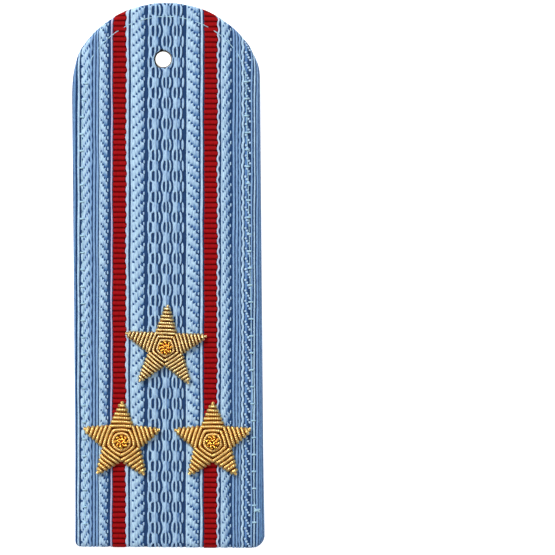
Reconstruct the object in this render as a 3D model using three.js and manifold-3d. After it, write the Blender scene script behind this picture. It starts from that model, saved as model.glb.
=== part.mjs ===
// A shoulder board for a uniform: light-blue woven galloon with two red stripes, folded over a stiff card,
// with a button hole at the round end and three padded stars of gold wire embroidered near the foot.
// Millimetres. The board lies face up: Z is up, Y runs from the foot to the round end, X across.
// The origin is in the middle of the board, on the surface that it lies on.
import * as THREE from "three";
import { mergeVertices } from "three/addons/utils/BufferGeometryUtils.js";
import Module from "manifold-3d";

const wasm = await Module();
wasm.setup();

// Board outline
const WIDTH = 50;
const LENGTH = 145.2;
const TIP_RADIUS = 27;
const FOOT_FLARE = 0.2; // each side is this much wider at the foot
const FLARE_LENGTH = 24;
const FOOT_SLANT = 0.9; // degrees, the right end of the foot is the lower one
// Where the round end turns into the sides: the arc's end as an angle from the tip, and where the side starts.
const SHOULDERS = {
  left: { arcEnd: 58, sideStart: 29.5, pull: 0.42 },
  right: { arcEnd: 56, sideStart: 20.5, pull: 0.5 },
};
const CORNER_RADIUS = { left: 1.4, right: 3.6 };

// Thicknesses, from the back up
const HEM_THICKNESS = 1.0;
const CARD_THICKNESS = 1.2;
const GALLOON_WALL = 1.2;
const SIDE_WALL = 1.0;
const HEM_WIDTH = 7;
const GAP = 0.15; // between pieces that touch on the real board

// Button hole
const HOLE_DIAMETER = 4.1;
const HOLE_FROM_TIP = 15.1;
const HOLE_OFF_CENTRE = -0.7;

// Galloon: its bands run nearly along the board
const BRAID_SKEW = 0.57; // degrees, clockwise seen from above
const BRAID_OFF_CENTRE = -0.45;
const GROOVE_DEPTH = 0.35;

// Red stripes, woven in as cross ribs
const STRIPE_WIDTH = 3.6;
const STRIPE_FROM_CENTRE = 12.1;
const STRIPE_THICKNESS = 0.75;
const STRIPE_PROUD = 0.1;
const RIB_PITCH = 1.37;
const RIB_DEPTH = 0.3;

// Stars: rows of gold wire laid over a pad, square across each arm, so that the middle ones join into pentagons
const PAD_HEIGHT = 1.9;
const RIM_HEIGHT = 0.7;
const WIRE_GROOVE = 0.34;
const STAR_MIDDLE = 1.5; // from the star's centre to its first wire
const ARM_END_WIDTH = 2.3;
const CHIP_LENGTH = 1.7;
const CHIP_THICKNESS = 0.8;
const WIRE = 1.06; // row spacing of the lower stars
const FINE_WIRE = 0.92; // row spacing of the upper star
const TAIL = 1.55; // cut end of wire past each arm
const TOP_STAR_FROM_FOOT = 53.5;
const LOW_STARS_FROM_FOOT = 28.5;
const LOW_STARS_APART = 24.2;
const STARS_OFF_CENTRE = -0.5;
const HAND_ERROR = 0.2; // the stars are set by hand, each a little off
const STARS = [
  // across and fromFoot place the centre; turn is clockwise degrees; rings and armRows count the rows of wire
  {
    name: "star_top", across: STARS_OFF_CENTRE - HAND_ERROR, fromFoot: TOP_STAR_FROM_FOOT,
    turn: 2.7, wire: FINE_WIRE, rings: 3, armRows: 6,
  },
  {
    name: "star_left", across: STARS_OFF_CENTRE - LOW_STARS_APART / 2, fromFoot: LOW_STARS_FROM_FOOT + HAND_ERROR,
    turn: 1.3, wire: WIRE, rings: 3, armRows: 4,
  },
  {
    name: "star_right", across: STARS_OFF_CENTRE + LOW_STARS_APART / 2, fromFoot: LOW_STARS_FROM_FOOT - HAND_ERROR,
    turn: 0.5, wire: WIRE, rings: 3, armRows: 4,
  },
];

const radians = THREE.MathUtils.degToRad;
const HALF = WIDTH / 2;
const TIP_Y = LENGTH / 2;
const CARD_BOTTOM = HEM_THICKNESS + GAP;
const CARD_TOP = CARD_BOTTOM + CARD_THICKNESS;
const GALLOON_BOTTOM = CARD_TOP + GAP;
const FACE = GALLOON_BOTTOM + GALLOON_WALL; // level of the galloon's highest threads
const STAR_BASE = FACE + STRIPE_PROUD + GAP;
const FOOT_SLOPE = -Math.tan(radians(FOOT_SLANT));

// Height of the foot's edge on the board's axis, set so that its lowest point is at -LENGTH / 2.
const FOOT_Y = -LENGTH / 2 - FOOT_SLOPE * (HALF + FOOT_FLARE - CORNER_RADIUS.right);

// The relief across one half of the galloon, from its centre line out, as shares of half the board's width.
// rise is the height of the band as a share of the groove depth, round the share of its width that curves down.
const BANDS = [
  { name: "middle chain", from: 0.0, to: 0.052, rise: 1.0, round: 0.45 },
  { name: "side chain", from: 0.066, to: 0.158, rise: 1.0, round: 0.3 },
  { name: "chain edge cord", from: 0.168, to: 0.2, rise: 0.9, round: 0.35 },
  { name: "inner twill", from: 0.214, to: 0.37, rise: 0.75, round: 0.12 },
  { name: "stripe cord, inner", from: 0.382, to: 0.408, rise: 0.9, round: 0.35 },
  { name: "stripe cord, outer", from: 0.56, to: 0.584, rise: 0.9, round: 0.35 },
  { name: "outer twill", from: 0.597, to: 0.7, rise: 0.75, round: 0.15 },
  { name: "first cord", from: 0.71, to: 0.738, rise: 1.0, round: 0.35 },
  { name: "second cord", from: 0.742, to: 0.77, rise: 1.0, round: 0.35 },
  { name: "third cord", from: 0.774, to: 0.802, rise: 1.0, round: 0.35 },
  { name: "border twill", from: 0.814, to: 0.902, rise: 0.75, round: 0.15 },
  { name: "seam cord", from: 0.912, to: 0.94, rise: 1.0, round: 0.35 },
  { name: "edge cord", from: 0.95, to: 0.985, rise: 0.9, round: 0.35 },
];

// The outer edge of the folded galloon in section: inset and height as shares of EDGE_ROUND and of the thickness.
const EDGE_ROUND = 1.3;
const EDGE_SECTION = [
  { inset: 0.45, height: 0 },
  { inset: 0.12, height: 0.07 },
  { inset: 0, height: 0.22 },
  { inset: 0, height: 0.62 },
  { inset: 0.12, height: 0.8 },
  { inset: 0.42, height: 0.93 },
  { inset: 1, height: 1 },
];

// A closed geometry as a solid that can be joined and cut.
function solid(geometry) {
  const bare = geometry.clone();
  bare.deleteAttribute("normal");
  bare.deleteAttribute("uv");
  const merged = mergeVertices(bare, 1e-4);
  return new wasm.Manifold(
    new wasm.Mesh({
      numProp: 3,
      vertProperties: merged.attributes.position.array,
      triVerts: new Uint32Array(merged.index.array),
    }),
  );
}

// A solid back as a geometry, flat-shaded.
function geometryOf(made) {
  const mesh = made.getMesh();
  const geometry = new THREE.BufferGeometry()
    .setAttribute("position", new THREE.BufferAttribute(mesh.vertProperties, 3))
    .setIndex(new THREE.BufferAttribute(mesh.triVerts, 1));
  geometry.computeVertexNormals();
  return geometry;
}

// A geometry from a list of [x, y, z] points and a list of triangles.
function meshed(points, triangles) {
  return new THREE.BufferGeometry()
    .setAttribute("position", new THREE.Float32BufferAttribute(points.flat(), 3))
    .setIndex(triangles.flat());
}

// The board's outline, anticlockwise from the right shoulder's start on the arc, moved inwards by inset.
// Every call gives the same number of points, so that two outlines can be joined by walls.
function outline(inset) {
  const radius = TIP_RADIUS - inset;
  const arcCentre = TIP_Y - TIP_RADIUS;
  const path = new THREE.Path();
  const arcPoint = (degrees) => [
    radius * Math.sin(radians(degrees)),
    arcCentre + radius * Math.cos(radians(degrees)),
  ];
  const footAt = (x) => FOOT_Y + FOOT_SLOPE * x + inset;

  const points = [];
  const add = (curve, steps) => {
    for (let i = 0; i < steps; i++) {
      const p = curve.getPoint(i / steps);
      points.push([p.x, p.y]);
    }
  };
  // A bend from the arc's end to the start of the side; side is 1 on the right and -1 on the left.
  const shoulder = (side, { arcEnd, sideStart, pull }) => {
    const [x, y] = arcPoint(arcEnd * side);
    const sideX = side * (HALF - inset);
    const sideY = TIP_Y - sideStart;
    const reach = (y - sideY) * pull;
    const slope = radians(arcEnd);
    return new THREE.CubicBezierCurve(
      new THREE.Vector2(x, y),
      new THREE.Vector2(x + side * reach * Math.cos(slope) * 0.6, y - reach * Math.sin(slope)),
      new THREE.Vector2(sideX, sideY + reach),
      new THREE.Vector2(sideX, sideY),
    );
  };
  const reversed = (curve) => new THREE.CubicBezierCurve(curve.v3, curve.v2, curve.v1, curve.v0);
  // A rounded corner at the foot.
  const corner = (side, full) => {
    const r = Math.max(full - inset, 0.25);
    const x = side * (HALF + FOOT_FLARE - inset - r);
    const y = footAt(x) + r;
    const from = side < 0 ? Math.PI : -Math.PI / 2;
    return new THREE.EllipseCurve(x, y, r, r, from, from + Math.PI / 2);
  };
  const flareY = footAt(0) + FLARE_LENGTH;

  const { left, right } = SHOULDERS;
  const tipArc = new THREE.EllipseCurve(
    0, arcCentre, radius, radius,
    Math.PI / 2 - radians(right.arcEnd),
    Math.PI / 2 + radians(left.arcEnd),
  );
  add(tipArc, 22);
  add(shoulder(-1, left), 6);
  points.push([-(HALF - inset), TIP_Y - left.sideStart]);
  points.push([-(HALF - inset), flareY]);
  add(corner(-1, CORNER_RADIUS.left), 4);
  const leftEnd = corner(-1, CORNER_RADIUS.left).getPoint(1);
  points.push([leftEnd.x, leftEnd.y]);
  add(corner(1, CORNER_RADIUS.right), 5);
  const rightEnd = corner(1, CORNER_RADIUS.right).getPoint(1);
  points.push([rightEnd.x, rightEnd.y]);
  points.push([HALF - inset, flareY]);
  add(reversed(shoulder(1, right)), 6);
  return points;
}

// A closed body through outlines at rising heights.
function loft(levels) {
  const rings = levels.map(({ inset, z }) => outline(inset).map(([x, y]) => [x, y, z]));
  const count = rings[0].length;
  const triangles = [];
  for (let level = 0; level + 1 < rings.length; level++) {
    for (let i = 0; i < count; i++) {
      const a = level * count + i;
      const b = level * count + ((i + 1) % count);
      triangles.push([a, b, b + count], [a, b + count, a + count]);
    }
  }
  const flat = (ring) => ring.map(([x, y]) => new THREE.Vector2(x, y));
  const top = (rings.length - 1) * count;
  for (const [a, b, c] of THREE.ShapeUtils.triangulateShape(flat(rings[0]), [])) {
    triangles.push([c, b, a]);
  }
  for (const [a, b, c] of THREE.ShapeUtils.triangulateShape(flat(rings.at(-1)), [])) {
    triangles.push([top + a, top + b, top + c]);
  }
  return solid(meshed(rings.flat(), triangles));
}

// A flat plate of the board's outline.
function plate(inset, bottom, top) {
  return loft([{ inset, z: bottom }, { inset, z: top }]);
}

// A bar of a section drawn in X and Z, as long as the board and more, laid along the galloon's skewed threads.
function alongBraid(section) {
  const length = LENGTH * 1.2;
  const shape = new THREE.Shape(section.map(([x, z]) => new THREE.Vector2(x, z)));
  const bar = new THREE.ExtrudeGeometry(shape, { depth: length, bevelEnabled: false });
  bar.rotateX(Math.PI / 2);
  bar.translate(0, length / 2, 0);
  bar.rotateZ(-radians(BRAID_SKEW));
  bar.translate(BRAID_OFF_CENTRE, 0, 0);
  return solid(bar);
}

function buttonHole() {
  const hole = new THREE.CylinderGeometry(HOLE_DIAMETER / 2, HOLE_DIAMETER / 2, 4 * FACE, 24);
  hole.rotateX(Math.PI / 2);
  hole.translate(HOLE_OFF_CENTRE, TIP_Y - HOLE_FROM_TIP, 0);
  return solid(hole);
}

// The folded galloon's outer body, before its relief is cut: level at the back, rounded at its edges.
function foldedBody() {
  return loft(
    EDGE_SECTION.map(({ inset, height }) => ({
      inset: inset * EDGE_ROUND,
      z: height * (FACE + STRIPE_PROUD),
    })),
  );
}

// Everything under the galloon's face: grooves between crowned bands, mirrored about the centre line.
function faceRelief() {
  const low = FACE - GROOVE_DEPTH;
  const right = [];
  for (const { from, to, rise, round } of BANDS) {
    const width = to - from;
    const crown = low + GROOVE_DEPTH * rise;
    const side = low + GROOVE_DEPTH * rise * 0.6;
    if (from > 0) {
      right.push([from, low], [from + width * round * 0.35, side]);
    }
    right.push([from + (from > 0 ? width * round : 0), crown], [to - width * round, crown]);
    right.push([to - width * round * 0.35, side], [to, low]);
  }
  const scaled = right.map(([share, z]) => [share * HALF, z]);
  const left = scaled.slice(1).map(([x, z]) => [-x, z]).reverse();
  const floor = -FACE;
  const edge = HALF * 1.2;
  return alongBraid([[-edge, floor], [edge, floor], [edge, low], ...[...left, ...scaled].reverse(), [-edge, low]]);
}

// The slot that a red stripe fills, or the space of the stripe itself where margin is 0.
function stripeSpace(side, margin) {
  const middle = side * STRIPE_FROM_CENTRE;
  const half = STRIPE_WIDTH / 2 + margin;
  const bottom = FACE + STRIPE_PROUD - STRIPE_THICKNESS - margin;
  const top = 2 * FACE;
  return alongBraid([
    [middle - half, bottom], [middle + half, bottom],
    [middle + half, top], [middle - half, top],
  ]);
}

// Cross ribs over the whole board: a zigzag bar laid across it.
function crossRibs() {
  const crest = FACE + STRIPE_PROUD;
  const groove = crest - RIB_DEPTH;
  const count = Math.ceil(LENGTH / RIB_PITCH) + 4;
  const start = -count * RIB_PITCH / 2;
  const section = [];
  for (let rib = 0; rib < count; rib++) {
    const y = start + rib * RIB_PITCH;
    section.push([y, groove], [y + RIB_PITCH * 0.3, crest], [y + RIB_PITCH * 0.7, crest]);
  }
  section.push([-start, groove], [-start, -FACE], [start, -FACE]);
  const shape = new THREE.Shape(section.map(([y, z]) => new THREE.Vector2(y, z)));
  const bar = new THREE.ExtrudeGeometry(shape, { depth: WIDTH * 1.4, bevelEnabled: false });
  bar.rotateX(Math.PI / 2);
  bar.rotateZ(Math.PI / 2);
  bar.translate(-WIDTH * 0.7, 0, 0);
  bar.rotateZ(-radians(BRAID_SKEW));
  return solid(bar);
}

// Galloon: a wall over the face, round the edges and turned under as a hem, with slots for the stripes.
function galloon() {
  const cardSpace = plate(SIDE_WALL, HEM_THICKNESS, GALLOON_BOTTOM);
  const backOpening = plate(HEM_WIDTH, -FACE, HEM_THICKNESS + GAP);
  return foldedBody()
    .intersect(faceRelief())
    .subtract(cardSpace)
    .subtract(backOpening)
    .subtract(stripeSpace(-1, GAP))
    .subtract(stripeSpace(1, GAP))
    .subtract(buttonHole());
}

function redStripe(side, ribs) {
  return foldedBody().intersect(stripeSpace(side, 0)).intersect(ribs);
}

function stiffener() {
  return plate(SIDE_WALL + GAP, CARD_BOTTOM, CARD_TOP).subtract(buttonHole());
}

// Sizes of a star that follow from its rows of wire.
function starSizes({ wire, rings, armRows }) {
  const ringReach = STAR_MIDDLE + (rings - 0.3) * wire; // to the outer edge of the last whole ring
  return {
    ringReach,
    reach: STAR_MIDDLE + (rings + armRows) * wire,
    ringHalf: ringReach * Math.tan(Math.PI / 5),
  };
}

// Distances from a star's centre at which its surface bends: a groove, then the near and far side of each crest.
function starStations({ wire, rings, armRows }) {
  const stations = [{ out: STAR_MIDDLE, crest: false }];
  for (let row = 0; row < rings + armRows; row++) {
    const start = STAR_MIDDLE + row * wire;
    stations.push({ out: start + 0.3 * wire, crest: true });
    stations.push({ out: start + 0.7 * wire, crest: true });
    stations.push({ out: start + wire, crest: false });
  }
  return stations;
}

// A padded star lying at the origin with one arm along +Y. Ring stations run round the centre and share their
// corners between neighbouring arms; arm stations end at the star's edge, where a rim drops to the cloth.
function starBody(star) {
  const { ringReach, reach, ringHalf } = starSizes(star);
  const stations = starStations(star);
  const lastRing = stations.findIndex(({ out }) => out > ringReach - 1e-6);
  const across = [-1, -0.6, 0, 0.6, 1];
  const points = [];
  const triangles = [];

  const halfAt = (out) => {
    const t = (out - ringReach) / (reach - ringReach);
    return out <= ringReach ? out * Math.tan(Math.PI / 5) : ringHalf + (ARM_END_WIDTH / 2 - ringHalf) * t;
  };
  // Height over the pad: highest along an arm's middle, down to the rim at the star's edge.
  const heightAt = ({ out, crest }, share) => {
    const middle = PAD_HEIGHT * (1 - 0.22 * (out / reach) ** 2);
    const edgeShare = out < ringReach ? Math.sqrt(1 - (out / ringReach) ** 2) : 0;
    const edge = RIM_HEIGHT + (middle - RIM_HEIGHT) * edgeShare;
    const height = edge + (middle - edge) * Math.sqrt(1 - share ** 2);
    return height - (crest ? 0 : WIRE_GROOVE);
  };
  const placed = (arm, out, sideways, z) => {
    const angle = (arm * 2 * Math.PI) / 5;
    points.push([
      -out * Math.sin(angle) + sideways * Math.cos(angle),
      out * Math.cos(angle) + sideways * Math.sin(angle),
      z,
    ]);
    return points.length - 1;
  };
  // rows[arm][station] holds the vertex numbers across the arm, from its right side to its left.
  const rows = [];
  for (let arm = 0; arm < 5; arm++) {
    rows.push(stations.map((station, index) => {
      const half = halfAt(station.out);
      const shared = index <= lastRing;
      return across.map((share, i) => {
        if (shared && i === 0) return null; // the next arm's far end is the same corner
        return placed(arm, station.out, -share * half, heightAt(station, share));
      });
    }));
  }
  for (let arm = 0; arm < 5; arm++) {
    for (let index = 0; index <= lastRing; index++) {
      rows[arm][index][0] = rows[(arm + 4) % 5][index].at(-1);
    }
  }
  const quad = (a, b, c, d) => triangles.push([a, b, c], [a, c, d]);

  // The seat in the middle, then the surface over rings and arms.
  const seatHeight = PAD_HEIGHT - WIRE_GROOVE - CHIP_THICKNESS / 2;
  const centre = placed(0, 0, 0, seatHeight);
  for (let arm = 0; arm < 5; arm++) {
    const seat = rows[arm][0];
    for (let i = 0; i + 1 < seat.length; i++) triangles.push([centre, seat[i], seat[i + 1]]);
    for (let index = 0; index + 1 < stations.length; index++) {
      const near = rows[arm][index];
      const far = rows[arm][index + 1];
      for (let i = 0; i + 1 < near.length; i++) quad(near[i], far[i], far[i + 1], near[i + 1]);
    }
  }

  // The star's edge as one loop of top vertices, then the rim wall under it and the flat underside.
  const edge = [];
  for (let arm = 0; arm < 5; arm++) {
    for (let index = lastRing; index < stations.length; index++) edge.push(rows[arm][index][0]);
    edge.push(...rows[arm].at(-1).slice(1, -1));
    for (let index = stations.length - 1; index > lastRing; index--) edge.push(rows[arm][index].at(-1));
  }
  const foot = edge.map((v) => {
    points.push([points[v][0], points[v][1], 0]);
    return points.length - 1;
  });
  const under = placed(0, 0, 0, 0);
  edge.forEach((v, i) => {
    const next = (i + 1) % edge.length;
    quad(edge[next], v, foot[i], foot[next]);
    triangles.push([under, foot[next], foot[i]]);
  });
  return solid(meshed(points, triangles));
}

// The cut end of wire that runs out past each arm.
function starTails(star) {
  const { reach } = starSizes(star);
  const radius = star.wire * 0.38;
  const length = TAIL + star.wire / 2;
  return [0, 1, 2, 3, 4].map((arm) => {
    const tail = new THREE.CylinderGeometry(radius, radius, length, 6);
    tail.translate(0, reach + TAIL - length / 2, radius);
    tail.rotateZ((arm * 2 * Math.PI) / 5);
    return solid(tail);
  });
}

// Short chips of bright wire heaped in a star's middle. out and bearing place a chip, heading turns it,
// lift raises it: shares of the middle's radius and of a chip's thickness, and degrees.
const CHIPS = [
  { out: 0, bearing: 0, heading: 25, lift: 0.75 },
  { out: 0.5, bearing: 10, heading: 95, lift: 0 },
  { out: 0.5, bearing: 85, heading: 170, lift: 0.12 },
  { out: 0.5, bearing: 160, heading: 60, lift: 0.05 },
  { out: 0.5, bearing: 235, heading: 140, lift: 0.15 },
  { out: 0.5, bearing: 305, heading: 35, lift: 0.08 },
];

function starChips() {
  const inscribed = STAR_MIDDLE - GAP;
  const bed = new THREE.CylinderGeometry(inscribed * 0.8, inscribed * 0.8, CHIP_THICKNESS / 2, 10);
  bed.rotateX(Math.PI / 2);
  bed.translate(0, 0, CHIP_THICKNESS / 4);
  const parts = [solid(bed)];
  const length = Math.min(CHIP_LENGTH, inscribed * 1.15);
  for (const { out, bearing, heading, lift } of CHIPS) {
    const chip = new THREE.CylinderGeometry(CHIP_THICKNESS / 2, CHIP_THICKNESS / 2, length, 6);
    chip.rotateZ(radians(heading));
    const reach = out * (inscribed - CHIP_THICKNESS / 2);
    chip.translate(
      reach * Math.cos(radians(bearing)),
      reach * Math.sin(radians(bearing)),
      CHIP_THICKNESS * (0.5 + lift),
    );
    parts.push(solid(chip));
  }
  // The heap stays inside the first ring of wire.
  const room = new THREE.CylinderGeometry(inscribed, inscribed, 6 * CHIP_THICKNESS, 20);
  room.rotateX(Math.PI / 2);
  return parts.reduce((heap, part) => heap.add(part)).intersect(solid(room));
}

const finishes = {
  galloon: new THREE.MeshStandardMaterial({ color: 0x8fb0d4, roughness: 0.75, metalness: 0 }),
  stripe: new THREE.MeshStandardMaterial({ color: 0x8d1214, roughness: 0.7, metalness: 0 }),
  card: new THREE.MeshStandardMaterial({ color: 0xa79f92, roughness: 0.9, metalness: 0 }),
  goldWire: new THREE.MeshStandardMaterial({ color: 0xd8b264, roughness: 0.4, metalness: 1 }),
  goldChip: new THREE.MeshStandardMaterial({ color: 0xd98a24, roughness: 0.3, metalness: 1 }),
};

function node(name, made, finish) {
  const mesh = new THREE.Mesh(geometryOf(made), finish);
  mesh.name = name;
  return mesh;
}

const board = new THREE.Group();
board.add(node("galloon", galloon(), finishes.galloon));
const ribs = crossRibs();
board.add(node("red_stripe_left", redStripe(-1, ribs), finishes.stripe));
board.add(node("red_stripe_right", redStripe(1, ribs), finishes.stripe));
board.add(node("stiffener", stiffener(), finishes.card));

const chips = starChips();
for (const star of STARS) {
  const body = starTails(star).reduce((joined, tail) => joined.add(tail), starBody(star));
  const wires = node(star.name, body, finishes.goldWire);
  const heap = node(star.name + "_chips", chips, finishes.goldChip);
  heap.position.z = PAD_HEIGHT - WIRE_GROOVE + GAP;
  const placedStar = new THREE.Group();
  placedStar.position.set(star.across, star.fromFoot - LENGTH / 2, STAR_BASE);
  placedStar.rotation.z = -radians(star.turn);
  placedStar.add(wires, heap);
  board.add(placedStar);
}

export default board;
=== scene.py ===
# %% [markdown]
# # A shoulder board, woven thread by thread
#
# The real board is a strip of woven galloon folded over a stiff card. Its light-blue bands, its two red
# stripes and its three padded stars of gold wire are all thread and wire, so this script weaves them
# instead of painting them. Every band is laid out flat first, as it comes off the loom, and then folded
# over the card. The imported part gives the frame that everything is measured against.

# %% The frame
import math
from contextlib import contextmanager

import bmesh
import bpy
import numpy as np
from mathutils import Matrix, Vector
from mathutils.geometry import delaunay_2d_cdt


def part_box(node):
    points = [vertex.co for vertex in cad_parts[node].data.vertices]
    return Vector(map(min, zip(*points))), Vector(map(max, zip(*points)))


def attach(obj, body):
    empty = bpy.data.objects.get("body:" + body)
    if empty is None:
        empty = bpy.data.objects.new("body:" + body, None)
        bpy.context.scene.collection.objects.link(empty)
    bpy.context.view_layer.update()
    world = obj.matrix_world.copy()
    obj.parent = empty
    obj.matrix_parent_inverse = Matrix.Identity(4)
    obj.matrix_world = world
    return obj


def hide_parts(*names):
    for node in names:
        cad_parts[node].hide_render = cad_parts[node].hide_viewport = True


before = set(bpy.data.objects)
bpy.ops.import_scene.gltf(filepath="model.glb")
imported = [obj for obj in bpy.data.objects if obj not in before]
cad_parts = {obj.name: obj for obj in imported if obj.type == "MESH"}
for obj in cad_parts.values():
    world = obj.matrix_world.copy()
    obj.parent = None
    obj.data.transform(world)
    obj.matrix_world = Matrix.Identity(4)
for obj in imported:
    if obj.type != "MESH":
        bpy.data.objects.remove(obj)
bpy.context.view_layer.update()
MM = 0.001

low, high = (np.array(corner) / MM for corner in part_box("galloon"))
print("galloon, mm:", low.round(2), high.round(2))

# %% [markdown]
# ## The camera
#
# The picture is taken from straight above, and the board lies left of its middle, so the camera hangs over
# the point of the table that is in the picture's middle. It stands far away with a long lens, as a copy
# stand does, and is turned half a degree because the board leans by that much.

# %% Camera
FIELD = 147.3  # mm of the table across the picture, at the height of the board's face
PICTURE_MIDDLE = (29.17, -0.75)  # mm from the board's middle
LEAN = 0.5  # degrees
CAMERA_HEIGHT = 1500
SENSOR = 36
FACE = 3.7  # height of the galloon's highest threads

camera_data = bpy.data.cameras.new("copy_stand")
camera_data.sensor_width = SENSOR
camera_data.lens = SENSOR * CAMERA_HEIGHT / FIELD
camera_data.clip_start = 0.1
camera_data.clip_end = 20
camera = bpy.data.objects.new("copy_stand", camera_data)
bpy.context.scene.collection.objects.link(camera)
camera.location = (PICTURE_MIDDLE[0] * MM, PICTURE_MIDDLE[1] * MM, (CAMERA_HEIGHT + FACE) * MM)
camera.rotation_euler = (0, 0, math.radians(-LEAN))
bpy.context.scene.camera = camera
print("lens, mm:", round(camera_data.lens, 1))

# %% [markdown]
# ## Nodes in short
#
# Materials and geometry trees are both made of nodes. One small function adds a node, sets it up and links
# it, so a tree reads as a list of steps. Another works out a noise's scale from a size in millimetres, and
# one turns hex colours to the linear values that Blender works with.


# %% Node and colour helpers
MATH = "ShaderNodeMath"
COLOUR_A, COLOUR_B = 6, 7  # the sockets of a Mix node's two colours
WAVE_REPEAT = math.pi / 10  # of a wave texture at scale 1


def add(tree, kind, inputs=(), **settings):
    """Adds a node. Inputs, by name or in order: values, sockets, nodes. A node gives its first output."""
    node = tree.nodes.new(kind)
    for name, value in settings.items():
        setattr(node, name, value)
    for key, value in inputs.items() if isinstance(inputs, dict) else enumerate(inputs):
        if isinstance(value, bpy.types.Node):
            value = value.outputs[0]
        if isinstance(value, bpy.types.NodeSocket):
            tree.links.new(value, node.inputs[key])
        else:
            node.inputs[key].default_value = value
    return node


def per(size):
    """The scale that gives a noise patches of this size in mm."""
    return 1 / (size * MM)


def linear(hex_colour):
    """An sRGB hex colour as linear red, green, blue and alpha."""
    channels = [int(hex_colour[i:i + 2], 16) / 255 for i in (1, 3, 5)]
    return [c / 12.92 if c <= 0.04045 else ((c + 0.055) / 1.055) ** 2.4 for c in channels] + [1.0]


def new_material(name):
    """A material and its tree, which is empty."""
    material = bpy.data.materials.new(name)
    material.use_nodes = True
    material.node_tree.nodes.clear()
    return material, material.node_tree


# %% [markdown]
# ## Table and light
#
# The picture has no shadow and a pure white ground, which a light table gives: a sheet of opal acrylic, lit
# from below. A large soft lamp stands beyond the tip on the left, which, with a shadow painted on the card,
# leaves that side of the button hole dark and models the ribs and the wire, and a paler one hangs overhead.
# The room itself is dim, so that the metal keeps contrast.

# %% Table and lamps
TABLE = 3000


def opal_acrylic():
    """Matt opal acrylic, lit through: the eye sees plain white with hardly any shadow."""
    material, tree = new_material("opal_acrylic_light_table")
    shader = add(tree, "ShaderNodeBsdfPrincipled", {
        "Base Color": linear("#e6e6e6"), "Roughness": 0.9, "Specular IOR Level": 0.2,
        "Emission Color": linear("#ffffff"), "Emission Strength": 0.9,
    })
    add(tree, "ShaderNodeOutputMaterial", {"Surface": shader})
    return material


def soft_lamp(name, place, size, watts):
    """A square soft lamp at a place in mm, turned towards the board's middle."""
    data = bpy.data.lights.new(name, "AREA")
    data.shape = "SQUARE"
    data.size = size * MM
    data.energy = watts
    lamp = bpy.data.objects.new(name, data)
    bpy.context.scene.collection.objects.link(lamp)
    lamp.location = [p * MM for p in place]
    lamp.rotation_euler = (-Vector(place)).to_track_quat("-Z", "Y").to_euler()


bpy.ops.mesh.primitive_plane_add(size=TABLE * MM, location=(0, 0, -0.02 * MM))
table = bpy.context.object
table.name = "table"
table.data.materials.append(opal_acrylic())

soft_lamp("left_lamp", (-560, 760, 950), 500, 15.5)
soft_lamp("top_lamp", (150, 0, 1900), 800, 10)
world = bpy.data.worlds.new("studio")
world.use_nodes = True
world.node_tree.nodes["Background"].inputs["Color"].default_value = linear("#ffffff")
world.node_tree.nodes["Background"].inputs["Strength"].default_value = 0.2
bpy.context.scene.world = world
bpy.context.scene.view_settings.view_transform = "Standard"

# %% [markdown]
# ## The board's outline
#
# The edge of the card decides where the galloon bends. The outline is a round end, two shoulders that ease
# into the sides, a slight flare and a foot that isn't quite square, with one sharp corner and one worn
# round. The same few sizes as the solid part's give it here, moved inwards by any inset.

# %% Outline
HALF = 25
TIP_Y = high[1]
TIP_RADIUS = 27
FOOT_FLARE = 0.2
FLARE_LENGTH = 24
FOOT_SLOPE = -math.tan(math.radians(0.9))
# Degrees of arc from the tip, mm from the tip to the straight side, and how far the bend between them
# pulls.
SHOULDERS = {
    1: {"arc_end": 56, "side_start": 20.5, "pull": 0.5},
    -1: {"arc_end": 58, "side_start": 29.5, "pull": 0.42},
}
CORNER_RADIUS = {1: 3.6, -1: 1.4}
LEAST_CORNER = 0.25
SHOULDER_LEAN = 0.6  # how much less the bend pulls across than down
FOOT_Y = -TIP_Y - FOOT_SLOPE * (HALF + FOOT_FLARE - CORNER_RADIUS[1])


def arc(centre, radius, start, end, steps):
    angles = np.radians(np.linspace(start, end, steps, endpoint=False))
    return np.stack([centre[0] + radius * np.cos(angles), centre[1] + radius * np.sin(angles)], 1)


def bezier(a, b, c, d, steps):
    t = np.linspace(0, 1, steps, endpoint=False)[:, None]
    return (1 - t) ** 3 * a + 3 * (1 - t) ** 2 * t * b + 3 * (1 - t) * t ** 2 * c + t ** 3 * d


def outline(inset):
    """The board's edge from above, anticlockwise from the right shoulder, moved inwards by inset mm."""
    radius = TIP_RADIUS - inset
    arc_centre = (0, TIP_Y - TIP_RADIUS)

    def foot_at(x):
        return FOOT_Y + FOOT_SLOPE * x + inset

    def shoulder(side):
        """From the arc's end to the start of the straight side."""
        sizes = SHOULDERS[side]
        slope = math.radians(sizes["arc_end"])
        start = np.array([side * radius * math.sin(slope), arc_centre[1] + radius * math.cos(slope)])
        end = np.array([side * (HALF - inset), TIP_Y - sizes["side_start"]])
        reach = (start[1] - end[1]) * sizes["pull"]
        bend = start + [side * reach * math.cos(slope) * SHOULDER_LEAN, -reach * math.sin(slope)]
        return start, bend, end + [0, reach], end

    def corner(side):
        r = max(CORNER_RADIUS[side] - inset, LEAST_CORNER)
        x = side * (HALF + FOOT_FLARE - inset - r)
        start = 180 if side < 0 else 270
        return arc((x, foot_at(x) + r), r, start, start + 90, 10)

    flare_y = foot_at(0) + FLARE_LENGTH
    right, left = SHOULDERS[1]["arc_end"], SHOULDERS[-1]["arc_end"]
    side_left = TIP_Y - SHOULDERS[-1]["side_start"]
    return np.concatenate([
        arc(arc_centre, radius, 90 - right, 90 + left, 60),
        bezier(*shoulder(-1), 16),
        np.stack([np.full(20, -(HALF - inset)), np.linspace(side_left, flare_y, 20)], 1),
        corner(-1),
        corner(1),
        [[HALF - inset, flare_y]],
        bezier(*reversed(shoulder(1)), 16),
    ])


print("points round the edge:", len(outline(0)))

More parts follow.
